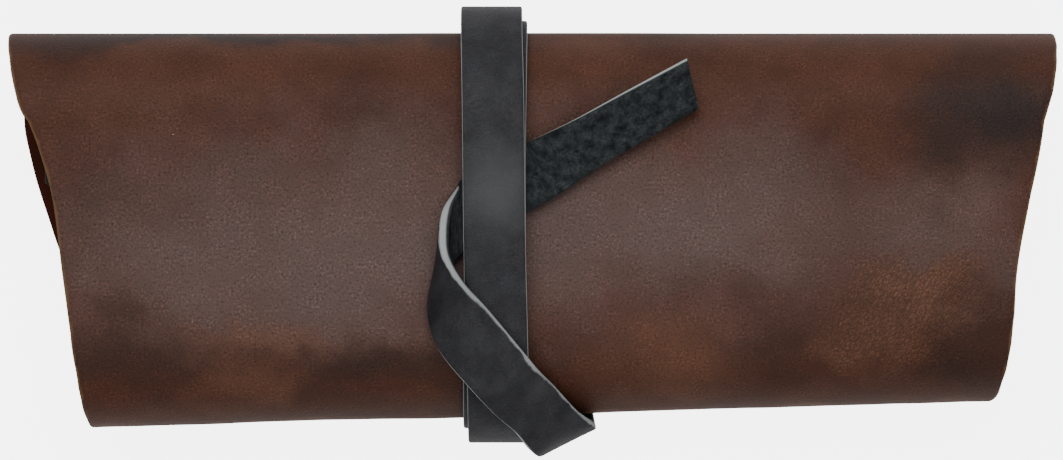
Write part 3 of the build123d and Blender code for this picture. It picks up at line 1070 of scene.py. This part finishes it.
@dataclass
class Pocket:
    """The pencil pocket: one sheet of black leather with a slot in each flat of the wide fold."""

    sizes: PocketSizes
    roll: RollSizes
    facets: list[Facet] = field(init=False)

    def __post_init__(self) -> None:
        """Find the flats inside the wide fold."""
        roll = self.roll
        octagon = fold_section(roll.rear - roll.leather, roll.leather, roll.height - roll.leather)
        middle = octagon[0][0]
        corners = [(2 * middle - octagon[1][0], roll.leather), *octagon[1::2]]
        names = (
            ("back", "back"), ("fold_low", "wide_fold_low"), ("fold_mid", "wide_fold_mid"),
            ("fold_high", "wide_fold_high"),
        )
        self.facets = [Facet(n, b, s, e) for (n, b), s, e in zip(names, corners, corners[1:])]

    def start(self, facet: Facet) -> float:
        """Where the pocket leather starts on a flat."""
        return self.sizes.long_edge - facet.start[0] if facet.name == "back" else self.sizes.bend_gap

    def section(self, facet: Facet) -> list[Point]:
        """Outer face of a slot and its hems, across the slot: pairs of t and h."""
        size, middle = self.sizes, facet.length / 2
        outer = size.radius + size.leather
        start, stop = self.start(facet), facet.length - size.bend_gap
        left, right = middle - outer, middle + outer
        rim = size.radius
        path = [(start, size.leather), (left, size.leather), (left, rim)]
        path += [
            (middle - outer * math.cos(math.pi * i / 12), rim + outer * math.sin(math.pi * i / 12))
            for i in range(1, 12)
        ]
        path += [(right, rim), (right, size.leather), (stop, size.leather)]
        return rounded(path, size.bend, 4)

    def build(self, *finishes: bpy.types.Material) -> None:
        """Make the four lengths of the pocket.

        Args:
            finishes: grain side, flesh side and cut edge.
        """
        size = self.sizes
        for facet in self.facets:
            section = self.section(facet)
            marks = lengths_along(section)
            wide = marks[-1]
            start, stop = section[0][0], section[-1][0]
            rounding = size.corner if facet.name == "back" else 0.0

            def left_at(s: float) -> float:
                """X of the closed end at a length across the slot."""
                inset = max(rounding - s, 0.0)
                return size.left + rounding - math.sqrt(max(rounding**2 - inset**2, 0.0))

            def lay(across: float, along: float) -> Point:
                """Place on the flat leather of shares across and along."""
                left = left_at(along * wide)
                return (left + (size.right - left) * across, along * wide)

            def place(x: float, s: float) -> Vector:
                """Where a place of the flat leather comes to lie."""
                t, h = point_along(section, marks, s)
                flat = start + (stop - start) * s / wide
                open_share = smooth((x - size.left - size.hem + 1 * MM) / size.opening)
                t, h = flat + (t - flat) * open_share, size.leather + (h - size.leather) * open_share
                h += size.lift + facet.sag(t) * max(0.0, 1 - h / (5 * MM))
                return facet.point(x, t, h)

            cut = Cut(size.leather, 44, 58, edge=0.2 * MM)
            piece = leather_piece(
                f"pocket_{facet.name}_leather", cut, lay, place,
                lambda x, s: max(min(x - left_at(s), size.right - x, s, wide - s), 0.0),
            )
            dress(piece, facet.body, (f"pocket_{facet.name}",), finishes)

    def build_thread(self, finish: bpy.types.Material) -> None:
        """Make the stitches beside each slot, along the long edge and across the closed end."""
        size = self.sizes
        outer = size.radius + size.leather
        for facet in self.facets:
            start = self.start(facet)
            rows = [facet.length / 2 - outer - size.thread, facet.length / 2 + outer + size.thread]
            if facet.name == "back":
                rows.append(start + size.margin)
            mesh = bmesh.new()
            count = int((size.right - size.left - size.hem - size.stitch) // size.pitch)
            for row in rows:
                for i in range(count):
                    x = size.left + size.hem + size.stitch + i * size.pitch
                    self.add_stitch(mesh, facet, x, row, True)
            row = start + size.margin + size.stitch
            while row < facet.length - size.bend_gap - size.stitch:
                self.add_stitch(mesh, facet, size.left + size.margin, row, False)
                row += size.pitch
            piece = add_object(f"thread_{facet.name}", mesh, smooth=True)
            dress(piece, facet.body, (f"stitches_{facet.name}",), (finish,))

    def add_stitch(self, mesh: bmesh.types.BMesh, facet: Facet, x: float, t: float, along_x: bool) -> None:
        """Add one stitch, a short rounded thread half sunk in the leather.

        Args:
            mesh: the thread's mesh.
            facet: the flat that it lies on.
            x: of its middle.
            t: of its middle.
            along_x: it runs along the roll rather than round it.
        """
        size = self.sizes
        made = bmesh.ops.create_uvsphere(mesh, u_segments=10, v_segments=6, radius=1.0)["verts"]
        half, wide = size.stitch / 2, size.thread / 2
        level = size.leather + size.lift + facet.sag(t)
        for vert in made:
            a, b, c = vert.co
            a = math.copysign(abs(a) ** 0.7, a)
            u, v = (a * half, b * wide) if along_x else (b * wide, a * half)
            vert.co = facet.point(x + u, t + v, level + c * size.thread_height)


# ---- Rivets ----


@dataclass
class Rivets:
    """Two rivets that hold the strap's fixed end: domed caps inside the roll and heads under it.

    Attributes:
        middle: X of both.
        places: Y of each.
        post: radius of the posts.
        cap_height: of a cap.
        skirt: its upright part.
        dome: its rounded part.
    """

    middle: float
    places: tuple[float, ...] = (3.0 * MM, 15.0 * MM)
    post: float = 1.5 * MM
    cap_height: float = 0.9 * MM
    skirt: float = 0.3 * MM
    dome: float = 0.6 * MM

    def turned(self, name: str, profile: Sequence[Point]) -> bpy.types.Object:
        """Turn a profile of radius and height round each rivet's axis.

        Args:
            name: of the piece.
            profile: from the axis round the outside back to the axis.

        Returns:
            The piece.
        """
        mesh = bmesh.new()
        for y in self.places:
            axis = Vector((self.middle, y, 0.0))
            verts = [mesh.verts.new(axis + Vector((r, 0.0, z))) for r, z in profile]
            edges = [mesh.edges.new(pair) for pair in zip(verts, verts[1:])]
            bmesh.ops.spin(
                mesh, geom=[*verts, *edges], cent=axis, axis=(0, 0, 1), angle=math.tau, steps=40,
                use_merge=True,
            )
        bmesh.ops.remove_doubles(mesh, verts=list(mesh.verts), dist=0.002 * MM)
        bmesh.ops.recalc_face_normals(mesh, faces=list(mesh.faces))
        return add_object(name, mesh, smooth=True)

    def radius(self, low: Vector, high: Vector) -> float:
        """Radius of round parts that stand at both places, from the box round them all."""
        return (high.y - low.y - (self.places[1] - self.places[0])) / 2

    def build(self, finish: bpy.types.Material) -> None:
        """Make the caps with their posts, and the heads, in brass."""
        low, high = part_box("rivet_posts")
        cap, post, base = self.radius(low, high), self.post, high.z - self.cap_height
        dome = [
            (cap * math.sin(a), base + self.skirt + self.dome * math.cos(a))
            for a in (math.radians(d) for d in range(0, 91, 15))
        ]
        dome[0] = (0.0, dome[0][1])
        rim = [(cap, base + 0.12 * MM), (cap - 0.15 * MM, base)]
        caps = self.turned("rivet_caps", [*dome, *rim, (post, base), (post, low.z), (0.0, low.z)])
        low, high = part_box("rivet_heads")
        wide = self.radius(low, high)
        edge = [(wide, low.z + 0.25 * MM), (wide - 0.2 * MM, low.z + 0.05 * MM), (wide * 0.6, low.z)]
        heads = self.turned("rivet_undersides", [(0.0, high.z), (wide, high.z), *edge, (0.0, low.z)])
        for piece, node in ((caps, "rivet_posts"), (heads, "rivet_heads")):
            dress(piece, "back", (node,), (finish,))


# ---- Finishes ----

Colour = tuple[float, float, float]


def linear(colour: Colour, scale: float = 1.0) -> tuple[float, float, float, float]:
    """Shader colour of a screen colour in 0-255, times a scale."""
    parts = [c / 255 for c in colour]
    values = [p / 12.92 if p <= 0.04045 else ((p + 0.055) / 1.055) ** 2.4 for p in parts]
    return (values[0] * scale, values[1] * scale, values[2] * scale, 1.0)


@dataclass
class Graph:
    """Short hand for building a shader graph."""

    tree: bpy.types.NodeTree

    def node(self, kind: str, **settings: object) -> bpy.types.Node:
        """Add a node and set its properties."""
        made = self.tree.nodes.new(kind)
        for key, value in settings.items():
            setattr(made, key, value)
        return made

    def feed(self, socket: bpy.types.NodeSocket, value: object) -> None:
        """Link a socket into another, or set its constant value."""
        if isinstance(value, bpy.types.NodeSocket):
            self.tree.links.new(value, socket)
        else:
            socket.default_value = value

    def math(self, operation: str, a: object, b: object = 0.0, c: object = 0.0) -> bpy.types.NodeSocket:
        """Result of a sum on up to three values."""
        made = self.node("ShaderNodeMath", operation=operation)
        for socket, value in zip(made.inputs, (a, b, c)):
            self.feed(socket, value)
        return made.outputs[0]

    def vector(self, operation: str, a: object, b: object = (0.0, 0.0, 0.0)) -> bpy.types.NodeSocket:
        """Result of a sum on two vectors."""
        made = self.node("ShaderNodeVectorMath", operation=operation)
        self.feed(made.inputs[0], a)
        self.feed(made.inputs[1], b)
        return made.outputs["Value" if operation in ("LENGTH", "DOT_PRODUCT", "DISTANCE") else "Vector"]

    def remap(self, value: object, low: float, high: float) -> bpy.types.NodeSocket:
        """Value eased from 0 at low to 1 at high."""
        made = self.node("ShaderNodeMapRange", interpolation_type="SMOOTHSTEP")
        self.feed(made.inputs["Value"], value)
        made.inputs["From Min"].default_value = low
        made.inputs["From Max"].default_value = high
        return made.outputs["Result"]

    def mix(self, share: object, a: object, b: object, blend: str = "MIX") -> bpy.types.NodeSocket:
        """Colour between a and b."""
        made = self.node("ShaderNodeMix", data_type="RGBA", blend_type=blend)
        self.feed(made.inputs[0], share)
        self.feed(made.inputs[6], a)
        self.feed(made.inputs[7], b)
        return made.outputs[2]

    def noise(self, vector: object, scale: float, detail: float = 3.0, rough: float = 0.5) -> bpy.types.Node:
        """Noise texture at a scale per metre."""
        made = self.node("ShaderNodeTexNoise")
        self.feed(made.inputs["Vector"], vector)
        made.inputs["Scale"].default_value = scale
        made.inputs["Detail"].default_value = detail
        made.inputs["Roughness"].default_value = rough
        return made

    def warped(self, place: object, cloud: bpy.types.Node, reach: float) -> bpy.types.NodeSocket:
        """Place moved about by a noise's colour, up to half the reach each way."""
        offset = self.vector("SCALE", self.vector("SUBTRACT", cloud.outputs["Color"], (0.5, 0.5, 0.5)))
        offset.node.inputs["Scale"].default_value = reach
        return self.vector("ADD", place, offset)

    def use(self, group: bpy.types.NodeTree, **values: object) -> bpy.types.Node:
        """Add a node group and feed its inputs, named with underscores for spaces."""
        made = self.node("ShaderNodeGroup", node_tree=group)
        for key, value in values.items():
            self.feed(made.inputs[key.replace("_", " ")], value)
        return made


def new_group(
    name: str, inputs: dict[str, float | tuple], output: str, kind: str = "Float"
) -> tuple[Graph, dict, bpy.types.NodeSocket]:
    """Start a node group with one output.

    Args:
        name: of the group.
        inputs: default value of each input; a tuple is a vector.
        output: name of the output.
        kind: of the output.

    Returns:
        The graph, its input sockets by name and its output socket.
    """
    tree = bpy.data.node_groups.new(name, "ShaderNodeTree")
    for key, value in inputs.items():
        given = "NodeSocketVector" if isinstance(value, tuple) else "NodeSocketFloat"
        socket = tree.interface.new_socket(name=key, in_out="INPUT", socket_type=given)
        socket.default_value = value
    tree.interface.new_socket(name=output, in_out="OUTPUT", socket_type=f"NodeSocket{kind}")
    graph = Graph(tree)
    start, end = graph.node("NodeGroupInput"), graph.node("NodeGroupOutput")
    return graph, {k: start.outputs[k] for k in inputs}, end.inputs[output]


ORIGIN = (0.0, 0.0, 0.0)
# Painted sheen on the wraps where they bulge over the tuck: its colour, middle and reach.
SHINE: Colour = (92, 94, 96)
SHINE_AT = (-7.5 * MM, 8.5 * MM, 45 * MM)
SHINE_REACH = (13 * MM, 15 * MM, 25 * MM)


@dataclass
class Effects:
    """Shared effects, each a node group: pebbled grain, mottling, soft patches, edge wear and flecks."""

    grain: bpy.types.NodeTree = field(init=False)
    mottle: bpy.types.NodeTree = field(init=False)
    patch: bpy.types.NodeTree = field(init=False)
    wear: bpy.types.NodeTree = field(init=False)
    flecks: bpy.types.NodeTree = field(init=False)

    def __post_init__(self) -> None:
        """Build every group."""
        self.grain = self.build_grain()
        self.mottle = self.build_mottle()
        self.patch = self.build_patch()
        self.wear = self.build_wear()
        self.flecks = self.build_flecks()

    @staticmethod
    def build_grain() -> bpy.types.NodeTree:
        """Height of pebbled leather: rounded cells between fine creases, with pores."""
        graph, given, out = new_group("pebble_grain", {"Vector": ORIGIN, "Scale": 1000.0}, "Height")
        place = graph.warped(given["Vector"], graph.noise(given["Vector"], 420.0, 2.0), 1.1 * MM)
        cells = graph.node("ShaderNodeTexVoronoi", feature="DISTANCE_TO_EDGE")
        graph.feed(cells.inputs["Vector"], place)
        graph.feed(cells.inputs["Scale"], given["Scale"])
        pebble = graph.remap(cells.outputs["Distance"], 0.0, 0.32)
        fine = graph.noise(given["Vector"], 3400.0, 2.0)
        graph.feed(out, graph.math("MULTIPLY_ADD", fine.outputs["Fac"], 0.4, pebble))
        return graph.tree

    @staticmethod
    def build_mottle() -> bpy.types.NodeTree:
        """Mask of cloudy patches at a scale, sharpened by a contrast."""
        graph, given, out = new_group("mottle", {"Vector": ORIGIN, "Scale": 40.0, "Contrast": 2.0}, "Mask")
        cloud = graph.noise(given["Vector"], 1.0, 5.0, 0.6)
        graph.feed(cloud.inputs["Scale"], given["Scale"])
        centred = graph.math("SUBTRACT", cloud.outputs["Fac"], 0.5)
        value = graph.math("MULTIPLY_ADD", centred, given["Contrast"], 0.5)
        value.node.use_clamp = True
        graph.feed(out, value)
        return graph.tree

    @staticmethod
    def build_patch() -> bpy.types.NodeTree:
        """Mask of one soft oval patch."""
        inputs = {"Vector": ORIGIN, "Centre": ORIGIN, "Reach": (1.0, 1.0, 1.0), "Strength": 1.0}
        graph, given, out = new_group("soft_patch", inputs, "Mask")
        centred = graph.vector("SUBTRACT", given["Vector"], given["Centre"])
        away = graph.vector("DIVIDE", centred, given["Reach"])
        near = graph.remap(graph.vector("LENGTH", away), 1.0, 0.0)
        graph.feed(out, graph.math("MULTIPLY", near, given["Strength"]))
        return graph.tree

    @staticmethod
    def build_flecks() -> bpy.types.NodeTree:
        """Shade of fine pale flecks and dark pores, in clusters."""
        graph, given, out = new_group("flecks", {"Vector": ORIGIN, "Strength": 1.0}, "Shade", "Color")
        fine = graph.noise(given["Vector"], 1900.0, 3.0, 0.7).outputs["Fac"]
        broad = graph.noise(given["Vector"], 190.0, 3.0, 0.6).outputs["Fac"]
        pale = graph.math("MULTIPLY", graph.remap(fine, 0.5, 0.72), graph.remap(broad, 0.3, 0.65))
        dark = graph.math("MULTIPLY", graph.remap(fine, 0.48, 0.3), 0.55)
        value = graph.math("MULTIPLY_ADD", graph.math("SUBTRACT", pale, dark), given["Strength"], 1.0)
        graph.feed(out, value)
        return graph.tree

    @staticmethod
    def build_wear() -> bpy.types.NodeTree:
        """Mask along a cut edge, broken up by noise."""
        graph, given, out = new_group("edge_wear", {"Vector": ORIGIN, "Distance": 0.0, "Width": MM}, "Mask")
        rough = graph.noise(given["Vector"], 260.0, 4.0)
        varied = graph.math("MULTIPLY_ADD", rough.outputs["Fac"], 2.4, -0.4)
        reach = graph.math("MULTIPLY", given["Width"], varied)
        share = graph.math("DIVIDE", given["Distance"], reach)
        graph.feed(out, graph.remap(share, 1.0, 0.1))
        return graph.tree


@dataclass(frozen=True)
class LeatherFinish:
    """One finish of leather.

    Attributes:
        name: of the material.
        dark: darker colour of its mottling.
        light: lighter colour.
        mottle: scale of the mottling, per metre.
        contrast: of the mottling.
        rough: roughness.
        sheen: strength of its shine.
        grain: pebbles per metre, or none.
        depth: height of the grain, in metres.
        worn: colour of its worn edges.
        wear: how far wear reaches in from an edge, in metres.
        core: colour of the undyed middle of a cut edge.
        flecks: strength of its fine pale flecks.
        shine: it has a painted sheen where the strap bulges over the tuck.
    """

    name: str
    dark: Colour
    light: Colour
    mottle: float = 60.0
    contrast: float = 2.0
    rough: float = 0.55
    sheen: float = 0.4
    grain: float = 0.0
    depth: float = 0.05 * MM
    worn: Colour | None = None
    wear: float = 0.9 * MM
    core: Colour | None = None
    flecks: float = 0.0
    shine: bool = False

    def start(self) -> tuple[bpy.types.Material, Graph, bpy.types.Node]:
        """New material with its graph and its surface shader."""
        material = bpy.data.materials.new(self.name)
        material.use_nodes = True
        graph = Graph(material.node_tree)
        surface = material.node_tree.nodes["Principled BSDF"]
        surface.inputs["Roughness"].default_value = self.rough
        surface.inputs["Specular IOR Level"].default_value = self.sheen
        return material, graph, surface

    def colour(self, graph: Graph, effects: Effects, place: bpy.types.NodeSocket) -> bpy.types.NodeSocket:
        """Mottled colour of the leather."""
        mask = graph.use(effects.mottle, Vector=place, Scale=self.mottle, Contrast=self.contrast)
        colour = graph.mix(mask.outputs["Mask"], linear(self.dark), linear(self.light))
        if self.core is None:
            return colour
        through = graph.node("ShaderNodeAttribute", attribute_name="through").outputs["Fac"]
        inside = graph.math("MULTIPLY", graph.remap(through, 0.0, 0.14), graph.remap(through, 0.8, 0.55))
        return graph.mix(inside, colour, linear(self.core))

    def flecked(self, graph: Graph, effects: Effects, place: object, colour: object) -> object:
        """Colour with fine pale flecks and darker pores."""
        if not self.flecks:
            return colour
        made = graph.use(effects.flecks, Vector=place, Strength=self.flecks)
        return graph.mix(1.0, colour, made.outputs["Shade"], "MULTIPLY")

    def worn_colour(self, graph: Graph, effects: Effects, place: object, colour: object) -> object:
        """Colour with its worn edges, where the finish has them."""
        if self.worn is None:
            return colour
        distance = graph.node("ShaderNodeAttribute", attribute_name="edge_distance")
        mask = graph.use(effects.wear, Vector=place, Distance=distance.outputs["Fac"], Width=self.wear)
        return graph.mix(mask.outputs["Mask"], colour, linear(self.worn))

    def bump(
        self, graph: Graph, effects: Effects, place: object, surface: bpy.types.Node, creases: object = 0.0
    ) -> None:
        """Pebbled surface, with the height of its creases added."""
        if not self.grain:
            return
        pebbles = graph.use(effects.grain, Vector=place, Scale=self.grain)
        height = graph.math("ADD", pebbles.outputs["Height"], creases)
        bump = graph.node("ShaderNodeBump")
        bump.inputs["Strength"].default_value = 0.8
        bump.inputs["Distance"].default_value = self.depth
        graph.feed(bump.inputs["Height"], height)
        graph.feed(surface.inputs["Normal"], bump.outputs["Normal"])

    def make(self, effects: Effects) -> bpy.types.Material:
        """Build the material.

        Args:
            effects: the shared node groups.

        Returns:
            The material.
        """
        material, graph, surface = self.start()
        place = graph.node("ShaderNodeUVMap", uv_map="UVMap").outputs["UV"]
        colour = self.flecked(graph, effects, place, self.colour(graph, effects, place))
        # Painted sheen: paler where the wraps bulge over the tucked strap.
        if self.shine:
            where = graph.node("ShaderNodeTexCoord").outputs["Object"]
            mask = graph.use(effects.patch, Vector=where, Centre=SHINE_AT, Reach=SHINE_REACH, Strength=0.6)
            colour = graph.mix(mask.outputs["Mask"], colour, linear(SHINE))
        graph.feed(surface.inputs["Base Color"], self.worn_colour(graph, effects, place, colour))
        self.bump(graph, effects, place, surface)
        return material


@dataclass(frozen=True)
class Patch:
    """A soft patch on the cover, as it lies rolled: its middle and reach in mm, its strength and colour."""

    x: float
    y: float
    wide: float
    high: float
    strength: float
    colour: Colour


# Painted reflection: greyish pale where the overhead light mirrors in the flat front.
PAINTED_REFLECTION: Colour = (108, 90, 86)
# Tan: the leather's paler tone in patches, and painted sheen in the two long bands along the top and bottom
# folds.
TAN_TONE_AND_FOLD_SHEEN: Colour = (122, 84, 64)
# Darker brown on the lower curve: partly the leather's tone, partly painted shade where the roll turns down.
DARK_TONE_AND_SHADE: Colour = (50, 32, 27)
# Painted deep shade along the top fold and on the right end of the top curve.
PAINTED_DEEP_SHADE: Colour = (40, 31, 30)
NICK: Colour = (205, 195, 180)
CREASE_SLANT = math.radians(48)
CREASE_SHADE = 0.42   # how dark it is between the creases
CREASE_HEIGHT = 2.2   # of the creases, against the pebbles

PATCHES = (
    Patch(-20, -1, 150, 36, 0.72, PAINTED_REFLECTION), Patch(-35, -8, 50, 18, 0.35, PAINTED_REFLECTION),
    Patch(40, 6, 38, 28, 0.5, PAINTED_REFLECTION), Patch(86, 4, 28, 15, 0.4, PAINTED_REFLECTION), Patch(98, 24, 24, 26, 0.9, PAINTED_DEEP_SHADE),
    Patch(-88, -24, 34, 13, 0.6, DARK_TONE_AND_SHADE), Patch(-56, -20, 26, 9, 0.35, TAN_TONE_AND_FOLD_SHEEN),
    Patch(-32, -27, 34, 10, 0.7, DARK_TONE_AND_SHADE), Patch(54, -26, 22, 14, 0.45, DARK_TONE_AND_SHADE),
    Patch(80, -14, 22, 14, 0.75, TAN_TONE_AND_FOLD_SHEEN), Patch(71, -27, 16, 11, 0.55, TAN_TONE_AND_FOLD_SHEEN),
    Patch(30, -30, 30, 12, 0.4, TAN_TONE_AND_FOLD_SHEEN), Patch(0, 36, 190, 8, 0.12, TAN_TONE_AND_FOLD_SHEEN), Patch(-62, 41, 90, 8, 0.85, PAINTED_DEEP_SHADE),
    Patch(0, -40, 190, 8, 0.7, TAN_TONE_AND_FOLD_SHEEN), Patch(50, 42, 95, 7, 0.5, PAINTED_DEEP_SHADE), Patch(-30, 14, 18, 14, 0.25, PAINTED_REFLECTION),
    Patch(-77, -6, 26, 14, 0.4, PAINTED_REFLECTION), Patch(32, -5, 30, 12, 0.35, PAINTED_REFLECTION),
    Patch(84, -4, 18, 9, 0.35, PAINTED_REFLECTION), Patch(99, -10, 14, 11, 0.35, PAINTED_REFLECTION),
    Patch(-78.1, 18.5, 0.34, 0.3, 1, NICK), Patch(-68.8, -13.6, 0.25, 0.3, 1, (180, 168, 155)),
    Patch(-62, -32, 18, 10, 0.4, TAN_TONE_AND_FOLD_SHEEN), Patch(94, -24, 14, 22, 0.5, DARK_TONE_AND_SHADE),
    Patch(88, -28, 12, 8, 0.45, DARK_TONE_AND_SHADE),
)


@dataclass(frozen=True)
class CoverFinish(LeatherFinish):
    """Waxed pull-up leather of the cover: mottled brown with soft paler and darker patches, some of them
    painted reflection, painted sheen and painted shade.
    """

    def make_cover(self, effects: Effects, cover: Cover) -> bpy.types.Material:
        """Build the material.

        Args:
            effects: the shared node groups.
            cover: tells where a place of the rolled cover lies on the flat leather.

        Returns:
            The material.
        """
        material, graph, surface = self.start()
        place = graph.node("ShaderNodeUVMap", uv_map="UVMap").outputs["UV"]
        bent = graph.warped(place, graph.noise(place, 55.0, 4.0, 0.6), 30 * MM)
        colour = self.colour(graph, effects, place)
        for patch in PATCHES:
            mask = graph.use(
                effects.patch, Vector=bent, Centre=(-patch.x * MM, self.down(cover, patch.y * MM), 0.0),
                Reach=(patch.wide * MM, patch.high * MM, 1.0), Strength=patch.strength,
            )
            colour = graph.mix(mask.outputs["Mask"], colour, linear(patch.colour))
        colour = self.flecked(graph, effects, place, colour)
        creases, area = self.creases(graph, effects, place, bent, cover)
        hollow = graph.math("MULTIPLY", graph.remap(creases, 0.75, 0.15), area)
        colour = graph.mix(graph.math("MULTIPLY", hollow, CREASE_SHADE), colour, linear(self.dark, 0.45))
        graph.feed(surface.inputs["Base Color"], self.worn_colour(graph, effects, place, colour))
        raised = graph.math("MULTIPLY", creases, graph.math("MULTIPLY", area, CREASE_HEIGHT))
        self.bump(graph, effects, place, surface, raised)
        return material

    @staticmethod
    def creases(
        graph: Graph, effects: Effects, place: object, bent: object, cover: Cover
    ) -> tuple[bpy.types.NodeSocket, bpy.types.NodeSocket]:
        """Height of fine slanting creases at the narrow corner, and where they show.

        Args:
            graph: the material's graph.
            effects: the shared node groups.
            place: on the flat leather.
            bent: the same place, moved about like the patches.
            cover: tells where the corner lies on the flat leather.

        Returns:
            The creases' height, and the mask of their area.
        """
        slant = graph.node("ShaderNodeMapping", vector_type="TEXTURE")
        slant.inputs["Rotation"].default_value = (0.0, 0.0, CREASE_SLANT)
        slant.inputs["Scale"].default_value = (2.4, 1.0, 1.0)
        graph.feed(slant.inputs["Vector"], place)
        ridges = graph.use(effects.grain, Vector=slant.outputs["Vector"], Scale=1500)
        area = graph.use(
            effects.patch, Vector=bent, Centre=(-78 * MM, CoverFinish.down(cover, -20 * MM), 0.0),
            Reach=(25 * MM, 24 * MM, 1.0), Strength=1.5,
        )
        return ridges.outputs["Height"], graph.remap(area.outputs["Mask"], 0.0, 1.0)

    @staticmethod
    def down(cover: Cover, y: float) -> float:
        """Length round the cover of the place seen at y from above."""
        size = cover.sizes
        radius = size.height / 2
        rear, front = size.rear - radius, size.front + radius
        if y > rear:
            return cover.lengths[10] - radius * math.asin(min((y - rear) / radius, 1.0))
        if y < front:
            return cover.lengths[11] + radius * math.asin(min((front - y) / radius, 1.0))
        return cover.lengths[10] + rear - y


@dataclass(frozen=True)
class BrassFinish:
    """Aged brass of the rivets."""

    name: str = "aged_brass"
    colour: Colour = (150, 118, 62)
    rough: float = 0.38

    def make(self) -> bpy.types.Material:
        """Build the material."""
        material = bpy.data.materials.new(self.name)
        material.use_nodes = True
        graph = Graph(material.node_tree)
        surface = material.node_tree.nodes["Principled BSDF"]
        surface.inputs["Metallic"].default_value = 1.0
        place = graph.node("ShaderNodeTexCoord").outputs["Object"]
        cloud = graph.noise(place, 900.0, 4.0)
        colour = graph.mix(cloud.outputs["Fac"], linear(self.colour, 0.6), linear(self.colour))
        graph.feed(surface.inputs["Base Color"], colour)
        rough = graph.math("MULTIPLY_ADD", cloud.outputs["Fac"], 0.3, self.rough - 0.1)
        graph.feed(surface.inputs["Roughness"], rough)
        return material


COVER_GRAIN = CoverFinish(
    "cover_waxed", (68, 38, 26), (92, 54, 38), 45, 2.2, 0.55, 0.22, 1250, 0.05 * MM, (120, 90, 58), flecks=1.0
)
COVER_FLESH = LeatherFinish("cover_suede", (58, 26, 17), (80, 36, 23), 70, 2.0, 0.85, 0.15, 2300, 0.04 * MM)
COVER_CUT = LeatherFinish("cover_cut_edge", (92, 70, 50), (140, 112, 76), 160, 2.4, 0.7, 0.3, 1800, 0.03 * MM)
POCKET_GRAIN = LeatherFinish("pocket_black", (20, 19, 20), (30, 28, 29), 60, 2.0, 0.5, 0.4, 1500, 0.03 * MM)
POCKET_FLESH = LeatherFinish("pocket_suede", (34, 32, 32), (48, 45, 44), 80, 2.0, 0.85, 0.15, 2300, 0.03 * MM)
POCKET_CUT = LeatherFinish("pocket_cut_edge", (110, 102, 92), (160, 150, 136), 160, 2.0, 0.7, 0.3)
STRAP_GRAIN = LeatherFinish(
    "strap_charcoal", (34, 34, 38), (54, 54, 58), 170, 3.0, 0.52, 0.28, 1700, 0.06 * MM, (74, 76, 78),
    0.4 * MM, flecks=0.7, shine=True,
)
STRAP_RIMMED = replace(
    STRAP_GRAIN, name="strap_charcoal_rimmed", worn=(170, 175, 175), wear=0.85 * MM, shine=False
)
STRAP_FLESH = LeatherFinish(
    "strap_suede", (30, 33, 35), (64, 68, 70), 420, 3.4, 0.9, 0.1, 2600, 0.06 * MM, flecks=1.0
)
STRAP_CUT = LeatherFinish(
    "strap_cut_edge", (34, 36, 38), (62, 65, 67), 300, 2.6, 0.7, 0.3, core=(182, 187, 187)
)
THREAD = LeatherFinish("thread_dark", (30, 28, 28), (52, 48, 46), 400, 2.0, 0.7, 0.3)


# ---- Stage ----


@dataclass
class Stage:
    """Pale floor, camera straight above and soft light.

    Attributes:
        distance: of the camera, in metres.
        lens: focal length in mm.
        glow: how brightly the floor shows to the camera.
        sky: strength of the light from all round.
    """

    distance: float = 1.23
    lens: float = 192.0
    glow: float = 5.0
    sky: float = 0.24

    def add_light(self, name: str, place: tuple[float, float, float], size: float, power: float) -> None:
        """Add a soft square light that faces the object."""
        data = bpy.data.lights.new(name, "AREA")
        data.size = size
        data.energy = power
        light = bpy.data.objects.new(name, data)
        light.location = place
        light.rotation_euler = (-Vector(place)).to_track_quat("-Z", "Y").to_euler()
        bpy.context.scene.collection.objects.link(light)

    def build(self) -> None:
        """Make the floor, world, lights and camera."""
        mesh = bmesh.new()
        bmesh.ops.create_grid(mesh, x_segments=1, y_segments=1, size=1.5)
        floor = add_object("floor", mesh)
        floor.location.z = -0.2 * MM
        white = bpy.data.materials.new("floor_white")
        white.use_nodes = True
        surface = white.node_tree.nodes["Principled BSDF"]
        surface.inputs["Base Color"].default_value = (0.8, 0.8, 0.8, 1.0)
        surface.inputs["Emission Color"].default_value = (1.0, 1.0, 1.0, 1.0)
        graph = Graph(white.node_tree)
        seen = graph.node("ShaderNodeLightPath").outputs["Is Camera Ray"]
        graph.feed(surface.inputs["Emission Strength"], graph.math("MULTIPLY_ADD", seen, self.glow, 0.3))
        floor.data.materials.append(white)
        world = bpy.data.worlds.new("soft_world")
        world.use_nodes = True
        background = world.node_tree.nodes["Background"]
        background.inputs["Color"].default_value = (1.0, 1.0, 1.0, 1.0)
        background.inputs["Strength"].default_value = self.sky
        bpy.context.scene.world = world
        self.add_light("overhead", (-0.15, 0.9, 1.5), 1.2, 18.0)
        self.add_light("fill", (0.3, -0.9, 1.4), 1.0, 6.0)
        camera_data = bpy.data.cameras.new("camera")
        camera_data.lens = self.lens
        camera = bpy.data.objects.new("camera", camera_data)
        camera.location = (0.0, 0.0, self.distance)
        bpy.context.scene.collection.objects.link(camera)
        bpy.context.scene.camera = camera


def main() -> None:
    """Build the case in order, then the stage."""
    logging.basicConfig(level=logging.INFO, format="%(name)s: %(message)s")
    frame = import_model()
    roll = RollSizes.from_frame(frame["joints"])
    effects = Effects()
    cover = Cover(roll)
    cover.build(COVER_GRAIN.make_cover(effects, cover), COVER_FLESH.make(effects), COVER_CUT.make(effects))
    pocket = Pocket(PocketSizes(), roll)
    pocket.build(*(finish.make(effects) for finish in (POCKET_GRAIN, POCKET_FLESH, POCKET_CUT)))
    pocket.build_thread(THREAD.make(effects))
    strap = Strap(StrapSizes.from_frame(), roll)
    strap.build(*(finish.make(effects) for finish in (STRAP_RIMMED, STRAP_GRAIN, STRAP_FLESH, STRAP_CUT)))
    Rivets(strap.sizes.middle).build(BrassFinish().make())
    Stage().build()


if __name__ == "__main__":
    main()
